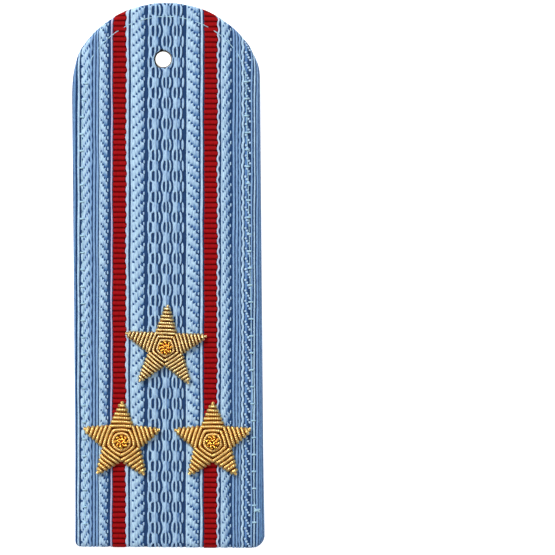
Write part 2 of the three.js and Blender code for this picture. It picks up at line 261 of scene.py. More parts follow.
# %% [markdown]
# ## Folding the galloon over the card
#
# A thread of the flat galloon runs straight on until it meets the card's edge, turns down over it and comes
# back underneath as a hem. fold_over_card does this to any flat mesh: x and y say where a point lies on the
# strip, and z is its height over the highest threads. Past the bend line it takes the nearest point of that
# line and walks the rest of the way round the edge's section. The button hole was opened with an awl, which
# pushed threads aside, and a second, smaller fold takes them down into it.

# %% Fold
EDGE_ROUND = 1.3
BACK_ROUND = 0.9
HEM_WIDTH = 7
BRAID_SKEW = math.radians(0.57)
BRAID_OFF_CENTRE = -0.45
HOLE = np.array([-0.7, TIP_Y - 15.1])
HOLE_RADIUS = 2.35  # of the opening in the cloth; the card's own, which shows in it, is a little smaller
HOLE_ROUND = 0.45
SPREAD = 1.5  # how far the awl pushed a thread aside that ran over the hole's middle
SPREAD_REACH = 2.6  # and how far from the middle the push fades
DEEPEST_CUT = 0.3  # how far a thread may hang down in the hole before it is cut
MITRE_GAP = 0.03
NEAR_SIDE, NEAR_TIP = 3, 18  # points further in than this can't be past the bend line
TINY = 1e-6  # keeps a length that is divided by from being nothing
PRESSED = 0.55  # how much of the relief is left where the galloon is pressed over the card's edge
BEND_LINE = outline(EDGE_ROUND)
SIDE_HEIGHT = FACE - EDGE_ROUND - BACK_ROUND
WAYS = np.cumsum([EDGE_ROUND * math.pi / 2, SIDE_HEIGHT, BACK_ROUND * math.pi / 2, HEM_WIDTH - BACK_ROUND])
AT_ONCE = 20000  # points that are compared with the bend line in one go, which keeps the arrays small


def nearest_on_bend_line(points):
    """The nearest point of the bend line, and whether each point lies outside it."""
    start = BEND_LINE
    along = np.roll(BEND_LINE, -1, 0) - start
    square = (along ** 2).sum(1)
    nearest = np.empty_like(points)
    outside = np.empty(len(points), bool)
    for first in range(0, len(points), AT_ONCE):
        now = slice(first, first + AT_ONCE)
        p = points[now]
        t = np.clip(((p[:, None] - start) * along).sum(2) / square, 0, 1)
        q = start + t[..., None] * along
        pick = ((p[:, None] - q) ** 2).sum(2).argmin(1)
        q = q[np.arange(len(p)), pick]
        nearest[now] = q
        away = p - q
        a = along[pick]
        outside[now] = a[:, 1] * away[:, 0] - a[:, 0] * away[:, 1] > 0
    return nearest, outside


def edge_section(way, height):
    """Offset from the bend line and level of a point that has gone this way round the edge, in mm."""
    over, down, under, hem = WAYS
    theta = np.clip(way, 0, over) / EDGE_ROUND
    offset = (EDGE_ROUND + height) * np.sin(theta)
    level = FACE - EDGE_ROUND + (EDGE_ROUND + height) * np.cos(theta)
    on_side = (way > over) & (way <= down)
    offset = np.where(way > over, EDGE_ROUND + height, offset)
    level = np.where(on_side, FACE - EDGE_ROUND - (way - over), level)
    turn = np.clip(way - down, 0, under - down) / BACK_ROUND
    turning = way > down
    offset = np.where(turning, EDGE_ROUND - BACK_ROUND + (BACK_ROUND + height) * np.cos(turn), offset)
    level = np.where(turning, BACK_ROUND - (BACK_ROUND + height) * np.sin(turn), level)
    flat = way > under
    offset = np.where(flat, EDGE_ROUND - BACK_ROUND - (way - under), offset)
    return offset, level


def pressed_at_edge(way, height):
    """The relief that is left once the fold has pressed the threads together."""
    return height * (1 - (1 - PRESSED) * np.clip(way / EDGE_ROUND, 0, 1))


def loom_drift(flat):
    """How far the loom's unevenness moves a thread sideways and along, in slow waves."""
    x, y = flat[:, 0], flat[:, 1]
    sideways = 0.05 * np.sin(y / 4.9 + x * 0.9) + 0.035 * np.sin(y / 2.3 + x * 1.7 + 1)
    along = 0.09 * np.sin(y / 5.7 + 0.5) + 0.05 * np.sin(y / 2.1 + x / 5 + 2)
    return np.stack([sideways, along], 1)


def as_woven(flat):
    """Where points of the strip lie over the card, with the loom's drift, the skew and the awl's push."""
    cos, sin = math.cos(BRAID_SKEW), math.sin(BRAID_SKEW)
    woven = flat[:, :2] + loom_drift(flat)
    x = woven[:, 0] * cos + woven[:, 1] * sin + BRAID_OFF_CENTRE
    y = -woven[:, 0] * sin + woven[:, 1] * cos
    from_hole = np.stack([x, y], 1) - HOLE
    reach = np.maximum(np.hypot(*from_hole.T), TINY)
    spread = np.sqrt(reach ** 2 + SPREAD ** 2 * np.exp(-(reach / SPREAD_REACH) ** 2)) / reach
    return HOLE + from_hole * spread[:, None]


def over_edge(folded, height, cut):
    """Takes the points past the bend line round the edge's section, and marks those past the hem's cut."""
    x, y, _ = folded.T
    near_side = (np.abs(x) > HALF - NEAR_SIDE) | (y < FOOT_Y + NEAR_SIDE)
    near_edge = np.where(near_side | (y > TIP_Y - NEAR_TIP))[0]
    p = folded[near_edge, :2]
    nearest, outside = nearest_on_bend_line(p)
    index = near_edge[outside]
    away = p[outside] - nearest[outside]
    way = np.hypot(*away.T)
    offset, level = edge_section(way, pressed_at_edge(way, height[index]))
    outwards = away / np.maximum(way, TINY)[:, None]
    folded[index, :2] = nearest[outside] + outwards * offset[:, None]
    folded[index, 2] = level
    cut[index] = way > WAYS[-1]

    # Under the corners two hems meet: each stops at the mitre, where the other one's edge is nearer.
    back = (way > WAYS[2]) & (offset < 0)
    nearest_now, _ = nearest_on_bend_line(folded[index[back], :2])
    distance = np.hypot(*(folded[index[back], :2] - nearest_now).T)
    cut[index[back]] |= distance < -offset[back] - MITRE_GAP


def into_hole(folded, height, cut):
    """Takes the points over the button hole down into it, and marks those that hang past the cut."""
    from_hole = folded[:, :2] - HOLE
    reach = np.hypot(*from_hole.T)
    way = HOLE_RADIUS + HOLE_ROUND - reach
    index = np.where(way > 0)[0]
    way, turn = way[index], np.clip(way[index] / HOLE_ROUND, 0, math.pi / 2)
    round_it = HOLE_ROUND + height[index]
    radial = HOLE_RADIUS + HOLE_ROUND - round_it * np.sin(turn)
    inwards = from_hole[index] / np.maximum(reach[index], TINY)[:, None]
    folded[index, :2] = HOLE + inwards * radial[:, None]
    drop = np.maximum(way - HOLE_ROUND * math.pi / 2, 0)
    folded[index, 2] = FACE - HOLE_ROUND + round_it * np.cos(turn) - drop
    cut[index] |= drop > DEEPEST_CUT


def fold_over_card(flat):
    """Folds points of the flat galloon, in mm, and says which are past the hem's or the hole's cut."""
    height = flat[:, 2]
    folded = np.column_stack([as_woven(flat), FACE + height])
    cut = np.zeros(len(flat), bool)
    over_edge(folded, height, cut)
    into_hole(folded, height, cut)
    return folded, cut


print("the galloon goes", WAYS.round(2), "mm round its edge")

# %% [markdown]
# ## The ground cloth
#
# Between the raised threads the galloon's dark ground shows. On the real strip it is the weft that carries
# the figure, packed tight. Here it is one closed shell: rings of the outline carried round the edge's
# section, a flat face with the button hole in it and the same again inside. Everything woven on top is laid
# on it.

# %% Ground cloth
GROUND = -0.35  # the ground's level below the highest threads
INSIDE = -1.15
HOLE_SIDES = 48
MERGED_WITHIN = 0.002


def mesh_object(name, points_mm, faces, material):
    mesh = bpy.data.meshes.new(name)
    mesh.from_pydata([tuple(p) for p in np.asarray(points_mm) * MM], [], faces)
    mesh.materials.append(material)
    made = bpy.data.objects.new(name, mesh)
    bpy.context.scene.collection.objects.link(made)
    return made


@contextmanager
def opened(mesh):
    """A mesh opened for work. When the work is done, all its faces are turned outwards."""
    bm = bmesh.new()
    bm.from_mesh(mesh)
    yield bm
    bmesh.ops.recalc_face_normals(bm, faces=bm.faces)
    bm.to_mesh(mesh)
    bm.free()


def merged(thing):
    """Joins points that lie in the same place, such as a closed line's two ends."""
    with opened(thing.data) as bm:
        bmesh.ops.remove_doubles(bm, verts=bm.verts, dist=MERGED_WITHIN * MM)
    return thing


def shell_rings():
    """Rings of the cloth from its face round the edge to the hem's end, and back along the inside."""
    ahead = np.roll(BEND_LINE, -1, 0) - np.roll(BEND_LINE, 1, 0)
    ahead /= np.hypot(*ahead.T)[:, None]
    normal = np.stack([ahead[:, 1], -ahead[:, 0]], 1)
    ways = np.concatenate([
        np.linspace(0, WAYS[0], 7)[:-1],
        np.linspace(WAYS[0], WAYS[1], 3)[:-1],
        np.linspace(WAYS[1], WAYS[2], 6)[:-1],
        np.linspace(WAYS[2], WAYS[3], 5),
    ])
    rings = []
    for height, order in ((GROUND, ways), (INSIDE, ways[::-1])):
        for way in order:
            pressed = pressed_at_edge(way, height) if height == GROUND else height
            offset, level = edge_section(np.array([way]), np.array([pressed]))
            xy = outline(EDGE_ROUND - offset[0]) if offset[0] < 0 else BEND_LINE + normal * offset[0]
            rings.append(np.column_stack([xy, np.full(len(xy), level[0])]))
    return rings


def hole_rings():
    angles = np.linspace(0, math.tau, HOLE_SIDES, endpoint=False)
    circle = np.stack([np.cos(angles), np.sin(angles)], 1)
    wall = HOLE_RADIUS - GROUND
    rings = []
    for radius, level in (
        (HOLE_RADIUS + HOLE_ROUND, FACE + GROUND),
        (wall + 0.02, FACE + GROUND - 0.05),
        (wall, FACE + GROUND - 0.15),
        (wall, FACE + INSIDE),
    ):
        rings.append(np.column_stack([HOLE + circle * radius, np.full(HOLE_SIDES, level)]))
    return rings


def ring_walls(first, count, rings):
    """Quads between rings of count points each, the first of which is numbered first."""
    faces = []
    for ring in range(rings - 1):
        a = first + ring * count
        for i in range(count):
            after = (i + 1) % count
            faces.append((a + i, a + after, a + count + after, a + count + i))
    return faces


def face_between(edge, hole, points):
    """Triangles that fill the flat face between the edge ring and the hole ring."""
    numbers = list(edge) + list(hole)
    flat = [tuple(points[i][:2]) for i in numbers]
    edge_loop = [(i, (i + 1) % len(edge)) for i in range(len(edge))]
    hole_loop = [(len(edge) + i, len(edge) + (i + 1) % len(hole)) for i in range(len(hole))]
    made = delaunay_2d_cdt([Vector(p) for p in flat], edge_loop + hole_loop, [], 1, 1e-6)
    centre = Vector(HOLE)
    faces = []
    for triangle in made[2]:
        middle = sum((made[0][i] for i in triangle), Vector((0, 0))) / 3
        if (middle - centre).length > HOLE_RADIUS:
            faces.append([numbers[made[3][i][0]] for i in triangle])
    return faces


WEFT_PITCH = 0.289  # mm from one packed weft thread to the next, about a fifth of a rib


def dyed_ground():
    """Dark weft, packed tight: matt fine ribs across the strip, whose dye drifts in long streaks."""
    material, tree = new_material("rayon_weft_ground_packed")
    place = add(tree, "ShaderNodeTexCoord").outputs["Object"]
    ribs = add(tree, "ShaderNodeTexWave", {
        "Vector": place, "Scale": WAVE_REPEAT / (WEFT_PITCH * MM), "Distortion": 0.6, "Detail Scale": 300.0,
    }, bands_direction="Y").outputs["Fac"]
    streaks = add(tree, "ShaderNodeTexNoise", {"Vector": place, "Scale": per(1.667), "Detail": 3.0})
    both = add(tree, MATH, [ribs, 0.5, streaks], operation="MULTIPLY_ADD")
    share = add(tree, "ShaderNodeMapRange", {"Value": both, "From Min": 0.4, "From Max": 1.1})
    colour = add(tree, "ShaderNodeMix", {
        "Factor": share, COLOUR_A: linear("#123058"), COLOUR_B: linear("#1d4576"),
    }, data_type="RGBA")
    bump = add(tree, "ShaderNodeBump", {"Height": ribs, "Strength": 0.5, "Distance": 0.06 * MM})
    shader = add(tree, "ShaderNodeBsdfPrincipled", {
        "Base Color": colour.outputs[2], "Normal": bump, "Roughness": 0.7, "Specular IOR Level": 0.2,
    })
    add(tree, "ShaderNodeOutputMaterial", {"Surface": shader})
    return material


def ground_cloth():
    edge, hole = shell_rings(), hole_rings()
    points = np.concatenate(edge + hole)
    around, circle = len(BEND_LINE), len(hole[0])
    first_hole = len(edge) * around
    faces = ring_walls(0, around, len(edge)) + ring_walls(first_hole, circle, len(hole))
    faces += face_between(range(around), range(first_hole, first_hole + circle), points)
    last_edge, last_hole = (len(edge) - 1) * around, first_hole + (len(hole) - 1) * circle
    last_edge, last_hole = range(last_edge, last_edge + around), range(last_hole, last_hole + circle)
    faces += face_between(last_edge, last_hole, points)
    return merged(mesh_object("galloon_ground", points, faces, dyed_ground()))


ground = ground_cloth()
print("ground cloth:", len(ground.data.polygons), "faces")

# %% [markdown]
# ## Threads
#
# Cords run the whole length of the strip. One geometry tree lays a cord: a line of points along Y, moved
# sideways by a wave where the cord takes part in a chain, swept with a flattened round section. A chain
# cord keeps to one side for half a repeat and to the other for the rest, which a cosine pressed through a
# hyperbolic tangent gives.

# %% Cord tree
RIB = 1.375  # one cross rib of the galloon; the twills repeat every two ribs, the chain every four
CHAIN_REPEAT = 4 * RIB
TWILL_REPEAT = 2 * RIB
LAY_FROM, LAY_TO = -TIP_Y - 12, TIP_Y + 12
UNDYED = bpy.data.materials.new("undyed_yarn")


def geometry_tree(name, **inputs):
    """A geometry tree and the sockets of its inputs, whose names are given by kind of socket."""
    tree = bpy.data.node_groups.new(name, "GeometryNodeTree")
    for kind, names in inputs.items():
        for given in names:
            tree.interface.new_socket(given, in_out="INPUT", socket_type="NodeSocket" + kind)
    tree.interface.new_socket("Geometry", in_out="OUTPUT", socket_type="NodeSocketGeometry")
    return tree, add(tree, "NodeGroupInput").outputs


def finished(tree, geometry):
    """Ends a tree: instances made real, in the undyed yarn that the piece's own material replaces."""
    real = add(tree, "GeometryNodeRealizeInstances", {"Geometry": geometry})
    yarn = add(tree, "GeometryNodeSetMaterial", {"Geometry": real, "Material": UNDYED})
    add(tree, "NodeGroupOutput", {"Geometry": yarn})


def laid_flat(tree, lengths, others, lines=None):
    """The plain mesh that a tree makes of lengths in mm and other values, perhaps from a mesh of lines."""
    values = {name: length * MM for name, length in lengths.items()} | others
    carrier = bpy.data.objects.new("flat", lines or bpy.data.meshes.new("flat"))
    bpy.context.scene.collection.objects.link(carrier)
    modifier = carrier.modifiers.new("lay", "NODES")
    modifier.node_group = tree
    for item in tree.interface.items_tree:
        if item.in_out == "INPUT" and item.name in values:
            modifier[item.identifier] = values[item.name]
    seen = carrier.evaluated_get(bpy.context.evaluated_depsgraph_get())
    mesh = bpy.data.meshes.new_from_object(seen)
    bpy.data.objects.remove(carrier)
    return mesh


def pressed_round(tree, given, sides):
    """A thread's section: a circle pressed to the given width and height."""
    section = add(tree, "GeometryNodeCurvePrimitiveCircle", {"Resolution": sides, "Radius": 0.5})
    size = add(tree, "ShaderNodeCombineXYZ", {"X": given["Width"], "Y": given["Height"], "Z": 1.0})
    return add(tree, "GeometryNodeTransform", {"Geometry": section, "Scale": size})


def cord_tree():
    tree, given = geometry_tree("cord", Float=[
        "In its oval", "In the neck", "Level", "Middle of oval", "Repeat", "Sharpness", "Width", "Height",
        "Step", "From", "To",
    ])
    start = add(tree, "ShaderNodeCombineXYZ", {"Y": given["From"]})
    end = add(tree, "ShaderNodeCombineXYZ", {"Y": given["To"]})
    line = add(tree, "GeometryNodeCurvePrimitiveLine", {"Start": start, "End": end})
    steps = {"Curve": line, "Length": given["Step"]}
    stepped = add(tree, "GeometryNodeResampleCurve", steps, mode="LENGTH")
    position = add(tree, "GeometryNodeInputPosition")
    along = add(tree, "ShaderNodeSeparateXYZ", [position]).outputs["Y"]
    past = add(tree, MATH, [along, given["Middle of oval"]], operation="SUBTRACT")
    repeats = add(tree, MATH, [past, given["Repeat"]], operation="DIVIDE")
    angle = add(tree, MATH, [repeats, math.tau], operation="MULTIPLY")
    wave = add(tree, MATH, [angle], operation="COSINE")
    sharpened = add(tree, MATH, [wave, given["Sharpness"]], operation="MULTIPLY")
    pressed = add(tree, MATH, [sharpened], operation="TANH")
    most = add(tree, MATH, [given["Sharpness"]], operation="TANH")
    relative = add(tree, MATH, [pressed, most], operation="DIVIDE")
    share = add(tree, MATH, [relative, 0.5, 0.5], operation="MULTIPLY_ADD")
    both = {"Factor": share, "A": given["In the neck"], "B": given["In its oval"]}
    across = add(tree, "ShaderNodeMix", both)
    place = add(tree, "ShaderNodeCombineXYZ", {"X": across, "Z": given["Level"]})
    moved = add(tree, "GeometryNodeSetPosition", {"Geometry": stepped, "Offset": place})
    swept = add(tree, "GeometryNodeCurveToMesh", {
        "Curve": moved, "Profile Curve": pressed_round(tree, given, 7), "Fill Caps": True,
    })
    finished(tree, swept)
    return tree


CORD = cord_tree()

# %% [markdown]
# The rest of the figure is made of floats: short lengths of thread that pass over the ground and dive under
# again at blunt ends. One tree lays a lattice of points, shifts each column by a step and puts a float on
# every point. A little chance in length and angle keeps it from looking printed.

# %% Float tree
FLOAT_HEIGHT = 0.32
FLOAT_TOP = -0.06  # how far a float's crest lies below the highest threads
FLOAT_END, FLOAT_BLUNT = 1.06, 16.0  # a float keeps a little width at its ends, which a power makes blunt


def float_shape(tree, given):
    """One float at the origin, along Y. A sine crowds its points towards its ends, so these are blunt."""
    half = add(tree, MATH, [given["Length"], 0.5], operation="MULTIPLY")
    line = add(tree, "GeometryNodeCurvePrimitiveLine", {"Start": (0, -MM, 0), "End": (0, MM, 0)})
    steps = {"Curve": line, "Count": given["Points"]}
    stepped = add(tree, "GeometryNodeResampleCurve", steps, mode="COUNT")
    factor = add(tree, "GeometryNodeSplineParameter").outputs["Factor"]
    phase = add(tree, MATH, [factor, math.pi, -math.pi / 2], operation="MULTIPLY_ADD")
    share = add(tree, MATH, [phase], operation="SINE")
    from_middle = add(tree, MATH, [share], operation="ABSOLUTE")
    square = add(tree, MATH, [from_middle, 2.0], operation="POWER")
    unbowed = add(tree, MATH, [square, given["Bow"]], operation="MULTIPLY")
    x = add(tree, MATH, [given["Bow"], unbowed], operation="SUBTRACT")
    y = add(tree, MATH, [share, half], operation="MULTIPLY")
    place = add(tree, "ShaderNodeCombineXYZ", {"X": x, "Y": y})
    curved = add(tree, "GeometryNodeSetPosition", {"Geometry": stepped, "Position": place})
    near_end = add(tree, MATH, [from_middle, FLOAT_BLUNT], operation="POWER")
    fullness = add(tree, MATH, [FLOAT_END, near_end], operation="SUBTRACT")
    swell = add(tree, MATH, [fullness], operation="SQRT")
    return add(tree, "GeometryNodeCurveToMesh", {
        "Curve": curved, "Profile Curve": pressed_round(tree, given, 7), "Scale": swell, "Fill Caps": True,
    })


def float_tree():
    tree, given = geometry_tree("floats", Int=["Columns", "Rows", "Points"], Float=[
        "First", "Spacing", "Start", "Repeat", "Shift", "Level", "Fall", "Length", "Width", "Height", "Bow",
        "Shorten", "Tilt", "Turn",
    ])
    index = add(tree, "GeometryNodeInputIndex")
    turns = add(tree, MATH, [index, given["Columns"]], operation="DIVIDE")
    row = add(tree, MATH, [turns], operation="FLOOR")
    before = add(tree, MATH, [row, given["Columns"]], operation="MULTIPLY")
    column = add(tree, MATH, [index, before], operation="SUBTRACT")
    count = add(tree, MATH, [given["Columns"], given["Rows"]], operation="MULTIPLY")
    points = add(tree, "GeometryNodeMeshLine", {"Count": count}, mode="OFFSET")
    x = add(tree, MATH, [column, given["Spacing"], given["First"]], operation="MULTIPLY_ADD")
    shifted = add(tree, MATH, [column, given["Shift"], given["Start"]], operation="MULTIPLY_ADD")
    y = add(tree, MATH, [row, given["Repeat"], shifted], operation="MULTIPLY_ADD")
    fallen = add(tree, MATH, [column, given["Fall"]], operation="MULTIPLY")
    z = add(tree, MATH, [given["Level"], fallen], operation="SUBTRACT")
    place = add(tree, "ShaderNodeCombineXYZ", [x, y, z])
    lattice = add(tree, "GeometryNodeSetPosition", {"Geometry": points, "Position": place})
    stretch, swing = (
        add(tree, "FunctionNodeRandomValue", chance, data_type="FLOAT").outputs[1]
        for chance in ({"Min": 0.95, "Max": 1.04, "Seed": 7}, {"Min": -0.04, "Max": 0.04, "Seed": 11})
    )
    lost = add(tree, MATH, [column, given["Shorten"]], operation="MULTIPLY")
    kept = add(tree, MATH, [stretch, lost], operation="SUBTRACT")
    tilt = add(tree, MATH, [column, given["Tilt"]], operation="MULTIPLY")
    turn = add(tree, MATH, [swing, given["Turn"]], operation="ADD")
    floats = add(tree, "GeometryNodeInstanceOnPoints", {
        "Points": lattice, "Instance": float_shape(tree, given),
        "Scale": add(tree, "ShaderNodeCombineXYZ", [1.0, kept, 1.0]),
        "Rotation": add(tree, "ShaderNodeCombineXYZ", [tilt, 0.0, turn]),
    })
    finished(tree, floats)
    return tree


FLOATS = float_tree()


def first_row(row_at, repeat):
    """The place of the first of the rows that cover the strip, if one of them is at row_at."""
    return row_at - math.ceil((row_at - LAY_FROM) / repeat) * repeat


def row_count(repeat):
    return int((LAY_TO - LAY_FROM) / repeat) + 2


def laid_floats(at, row_at, length, width, columns=1, spacing=0, shift=0, repeat=TWILL_REPEAT,
                top=FLOAT_TOP, fall=0, bow=0, shorten=0, points=9, tilt=0, turn=0):
    """Floats, in mm and degrees. at is the first column's x, and row_at the middle of any float in it."""
    return laid_flat(FLOATS, {
        "First": at, "Spacing": spacing, "Start": first_row(row_at, repeat), "Repeat": repeat,
        "Shift": shift, "Level": top - FLOAT_HEIGHT / 2, "Fall": fall, "Length": length, "Width": width,
        "Height": FLOAT_HEIGHT, "Bow": bow,
    }, {
        "Columns": columns, "Rows": row_count(repeat), "Points": points, "Shorten": float(shorten),
        "Tilt": math.radians(tilt), "Turn": math.radians(turn),
    })


# %% [markdown]
# Laying a piece means making its flat mesh, joining several of them, folding the points and cutting off
# what reaches past the hem. Cut threads get a cap, so that each stays a closed body. Each point keeps its
# place on the flat strip, in millimetres, as an attribute, so that a material can follow the weave round
# the fold.


# %% From flat to folded
def stored_places(mesh, name, places):
    """Keeps a list of points with a mesh, for its material to read."""
    attribute = mesh.attributes.new(name, "FLOAT_VECTOR", "POINT")
    attribute.data.foreach_set("vector", np.asarray(places, np.float32).ravel())


def smoothed(made):
    """Shades a piece smooth and prints its size."""
    mesh = made.data
    mesh.polygons.foreach_set("use_smooth", [True] * len(mesh.polygons))
    mesh.calc_loop_triangles()
    print(made.name + ":", len(mesh.loop_triangles), "triangles")
    return made


def folded_piece(name, flats, material):
    """One piece from several flat meshes, in metres: folded over the card, trimmed and closed."""
    points, faces, first = [], [], 0
    for mesh in flats:
        co = np.empty(len(mesh.vertices) * 3)
        mesh.vertices.foreach_get("co", co)
        points.append(co.reshape(-1, 3) / MM)
        faces += [[first + v for v in polygon.vertices] for polygon in mesh.polygons]
        first += len(mesh.vertices)
        bpy.data.meshes.remove(mesh)
    flat = np.concatenate(points)
    folded, cut = fold_over_card(flat)
    kept = [face for face in faces if not cut[face].any()]
    made = mesh_object(name, folded, kept, material)
    stored_places(made.data, "flat", flat)
    with opened(made.data) as bm:
        bmesh.ops.delete(bm, geom=[v for v in bm.verts if not v.link_faces], context="VERTS")
        bmesh.ops.holes_fill(bm, edges=[e for e in bm.edges if e.is_boundary])
    return smoothed(made)


# %% [markdown]
# ## Rayon
#
# The galloon is woven of rayon, a smooth filament yarn with a soft sheen along its threads. Its blue isn't
# even: each thread took the dye a little differently, so the colour drifts in short streaks along every
# thread. It also deepens with depth, which the stored flat place gives: that is painted shade, pale on the
# crests and dark low between them. A fine slanting twist shows where the light grazes it.


# %% Rayon yarn
TWIST = 0.3456  # mm from one turn of the yarn's twist to the next, a little coarser than the real 0.3
TWIST_SLANT = 35  # degrees
STREAKS = (2.2, 0.35, 1.0)  # of them to a mm: they are half a mm wide, three long and one deep


def rayon(name, pale, deep, drift=0.5, shade=(-0.12, -0.42), roughness=0.5, gloss=0.3, hue=0.013):
    """Yarn of two shades. Uneven dye and painted shade, over the depths in mm of shade, bring in the deep
    one.
    """
    material, tree = new_material(name)
    flat = add(tree, "ShaderNodeAttribute", attribute_name="flat").outputs["Vector"]
    stretched = add(tree, "ShaderNodeVectorMath", [flat, STREAKS], operation="MULTIPLY")
    dye = add(tree, "ShaderNodeTexNoise", {"Vector": stretched, "Scale": 1.0, "Detail": 3.0})
    fine = add(tree, "ShaderNodeTexNoise", {"Vector": stretched, "Scale": 3.0, "Detail": 2.0})
    both = add(tree, MATH, [dye, fine], operation="ADD")
    uneven = add(tree, "ShaderNodeMapRange", {
        "Value": both, "From Min": 0.8, "From Max": 1.3, "To Min": 0.0, "To Max": drift,
    })
    # Painted shade: the deeper a point lies below the galloon's crests, the more of the deep colour it
    # gets.
    depth = add(tree, "ShaderNodeSeparateXYZ", [flat]).outputs["Z"]
    low = add(tree, "ShaderNodeMapRange", {"Value": depth, "From Min": shade[0], "From Max": shade[1]})
    share = add(tree, MATH, [uneven, low], operation="ADD", use_clamp=True)
    shades = {"Factor": share, COLOUR_A: linear(pale), COLOUR_B: linear(deep)}
    colour = add(tree, "ShaderNodeMix", shades, data_type="RGBA")
    hues = add(tree, "ShaderNodeMapRange", {
        "Value": fine, "From Min": 0.3, "From Max": 0.7, "To Min": 0.5 - hue, "To Max": 0.5 + hue,
    })
    dyed = add(tree, "ShaderNodeHueSaturation", {"Hue": hues, "Color": colour.outputs[2]})
    slant = (0, 0, math.radians(TWIST_SLANT))
    slanted = add(tree, "ShaderNodeMapping", {"Vector": flat, "Rotation": slant})
    twist = add(tree, "ShaderNodeTexWave", {
        "Vector": slanted, "Scale": WAVE_REPEAT / TWIST, "Distortion": 1.0,
    }, bands_direction="Y").outputs["Fac"]
    bump = add(tree, "ShaderNodeBump", {"Height": twist, "Strength": 0.25, "Distance": 0.05 * MM})
    shader = add(tree, "ShaderNodeBsdfPrincipled", {
        "Base Color": dyed, "Normal": bump, "Roughness": roughness, "Specular IOR Level": gloss,
    })
    add(tree, "ShaderNodeOutputMaterial", {"Surface": shader})
    return material


# The shade pairs give the depths in mm over which painted shade brings in each yarn's deep colour.
PALE_CORD = rayon("rayon_cord_pale_blue", "#c1e1f9", "#3b6ca4", shade=(-0.1, -0.4))
MID_CORD = rayon("rayon_cord_mid_blue", "#8ab0da", "#33609c", shade=(-0.04, -0.28))
CHAIN_YARN = rayon("rayon_yarn_of_the_chain", "#b7d8f3", "#3f70a9", drift=0.62, shade=(-0.08, -0.34))
PALE_FLOAT = rayon("rayon_float_pale_blue", "#c4e4fa", "#4577ae", drift=0.55, shade=(-0.1, -0.36))
EDGE_CORD = rayon("rayon_cord_edge_blue", "#709ac8", "#295086", shade=(0, -0.25))
BACKING = rayon("rayon_weft_mid_blue", "#6590c4", "#30609f", drift=0.6, shade=(-0.25, -0.5))
WHITE_YARN = rayon("rayon_yarn_white", "#c6d4ea", "#6d93c6", drift=0.4, shade=(-0.06, -0.3))
ROSE_YARN = rayon("rayon_yarn_white_beside_red", "#c3c2e2", "#6a82bc", drift=0.4)
RED_YARN = rayon(
    "rayon_yarn_crimson", "#a60a10", "#6a0102", drift=0.4, shade=(0.05, -0.2),
    roughness=0.7, gloss=0.08, hue=0.002,
)
DEEP_WEFT = rayon("rayon_weft_deep_blue", "#2c5690", "#183a6e", shade=(-0.1, -0.32), gloss=0.2)

# %% [markdown]
# ## The chain down the middle
#
# Three columns of linked ovals run down the middle of the galloon, the middle one half a repeat behind its
# neighbours. An oval shows three threads over two long slits of ground: the left one bows out as a cord
# that never dives, the middle one runs straight, and the right one is a float that bows out and meets the
# necks with its ends. Between two ovals the threads close to a broad neck, pale on its left and falling
# away to the right. A cord on the left follows the outer column.

# %% Chain
CHAIN_CORD_HEIGHT = 0.42
BENT_STEP, STRAIGHT_STEP, HIDDEN_STEP = 0.25, 0.5, 1  # mm from one section of a cord to the next
MIDDLE_OVAL = 29.2  # mm from the board's middle to an oval of the middle column
SIDE_OVAL = MIDDLE_OVAL + CHAIN_REPEAT / 2
CHAIN_CORDS = [
    {"oval_at": SIDE_OVAL, "oval": -4.42, "neck": -4.65, "width": 0.6, "sharpness": 2.5},
    {"oval_at": SIDE_OVAL, "oval": -4.02, "neck": -3.46, "width": 0.56, "sharpness": 5},
    {"oval_at": SIDE_OVAL, "oval": -2.78, "neck": -2.85, "width": 0.64, "sharpness": 2},
    {"oval_at": MIDDLE_OVAL, "oval": -1.0, "neck": -0.52, "width": 0.62, "sharpness": 1.3},
    {"oval_at": MIDDLE_OVAL, "oval": 0.12, "neck": 0.02, "width": 0.52, "sharpness": 1},
    {"oval_at": SIDE_OVAL, "oval": 1.78, "neck": 2.2, "width": 0.62, "sharpness": 2},
    {"oval_at": SIDE_OVAL, "oval": 2.85, "neck": 2.72, "width": 0.54, "sharpness": 1},
]
CHAIN_FLOATS = [
    {"row_at": SIDE_OVAL, "at": -2.0, "width": 0.54, "length": 3.3, "bow": 0.38, "top": -0.01},
    {"row_at": MIDDLE_OVAL, "at": 0.8, "width": 0.54, "length": 3.3, "bow": 0.38, "top": -0.01},
    {"row_at": SIDE_OVAL, "at": 3.72, "width": 0.6, "length": 3.3, "bow": 0.3, "top": -0.01},
    {"row_at": MIDDLE_OVAL, "at": 4.44, "width": 0.62, "length": 2.85, "bow": 0.06, "top": 0},
]
NECKS = [
    {"row_at": MIDDLE_OVAL, "at": -3.25},
    {"row_at": SIDE_OVAL, "at": -0.3},
    {"row_at": MIDDLE_OVAL, "at": 2.45},
]
NECK = {"width": 1.05, "length": 2.9, "top": -0.02}
BESIDE_NECK = 0.84
NECK_FALL = {"width": 1.1, "length": 2.75, "top": -0.16}


def laid_cord(oval, neck, oval_at, width, height, step, sharpness=1, repeat=CHAIN_REPEAT, top=0):
    """A cord in mm. It lies at oval across the strip by oval_at, and at neck half a repeat away."""
    return laid_flat(CORD, {
        "In its oval": oval, "In the neck": neck, "Level": top - height / 2, "Middle of oval": oval_at,
        "Repeat": repeat, "Width": width, "Height": height, "Step": step, "From": LAY_FROM, "To": LAY_TO,
    }, {"Sharpness": float(sharpness)})


def chain():
    flats = [laid_cord(**cord, height=CHAIN_CORD_HEIGHT, step=BENT_STEP) for cord in CHAIN_CORDS]
    flats += [laid_floats(**row, repeat=CHAIN_REPEAT) for row in CHAIN_FLOATS]
    for neck in NECKS:
        flats.append(laid_floats(**neck, **NECK, repeat=CHAIN_REPEAT))
        fallen = {**neck, "at": neck["at"] + BESIDE_NECK}
        flats.append(laid_floats(**fallen, **NECK_FALL, repeat=CHAIN_REPEAT))
    return folded_piece("galloon_chain", flats, CHAIN_YARN)


chain_cords = chain()

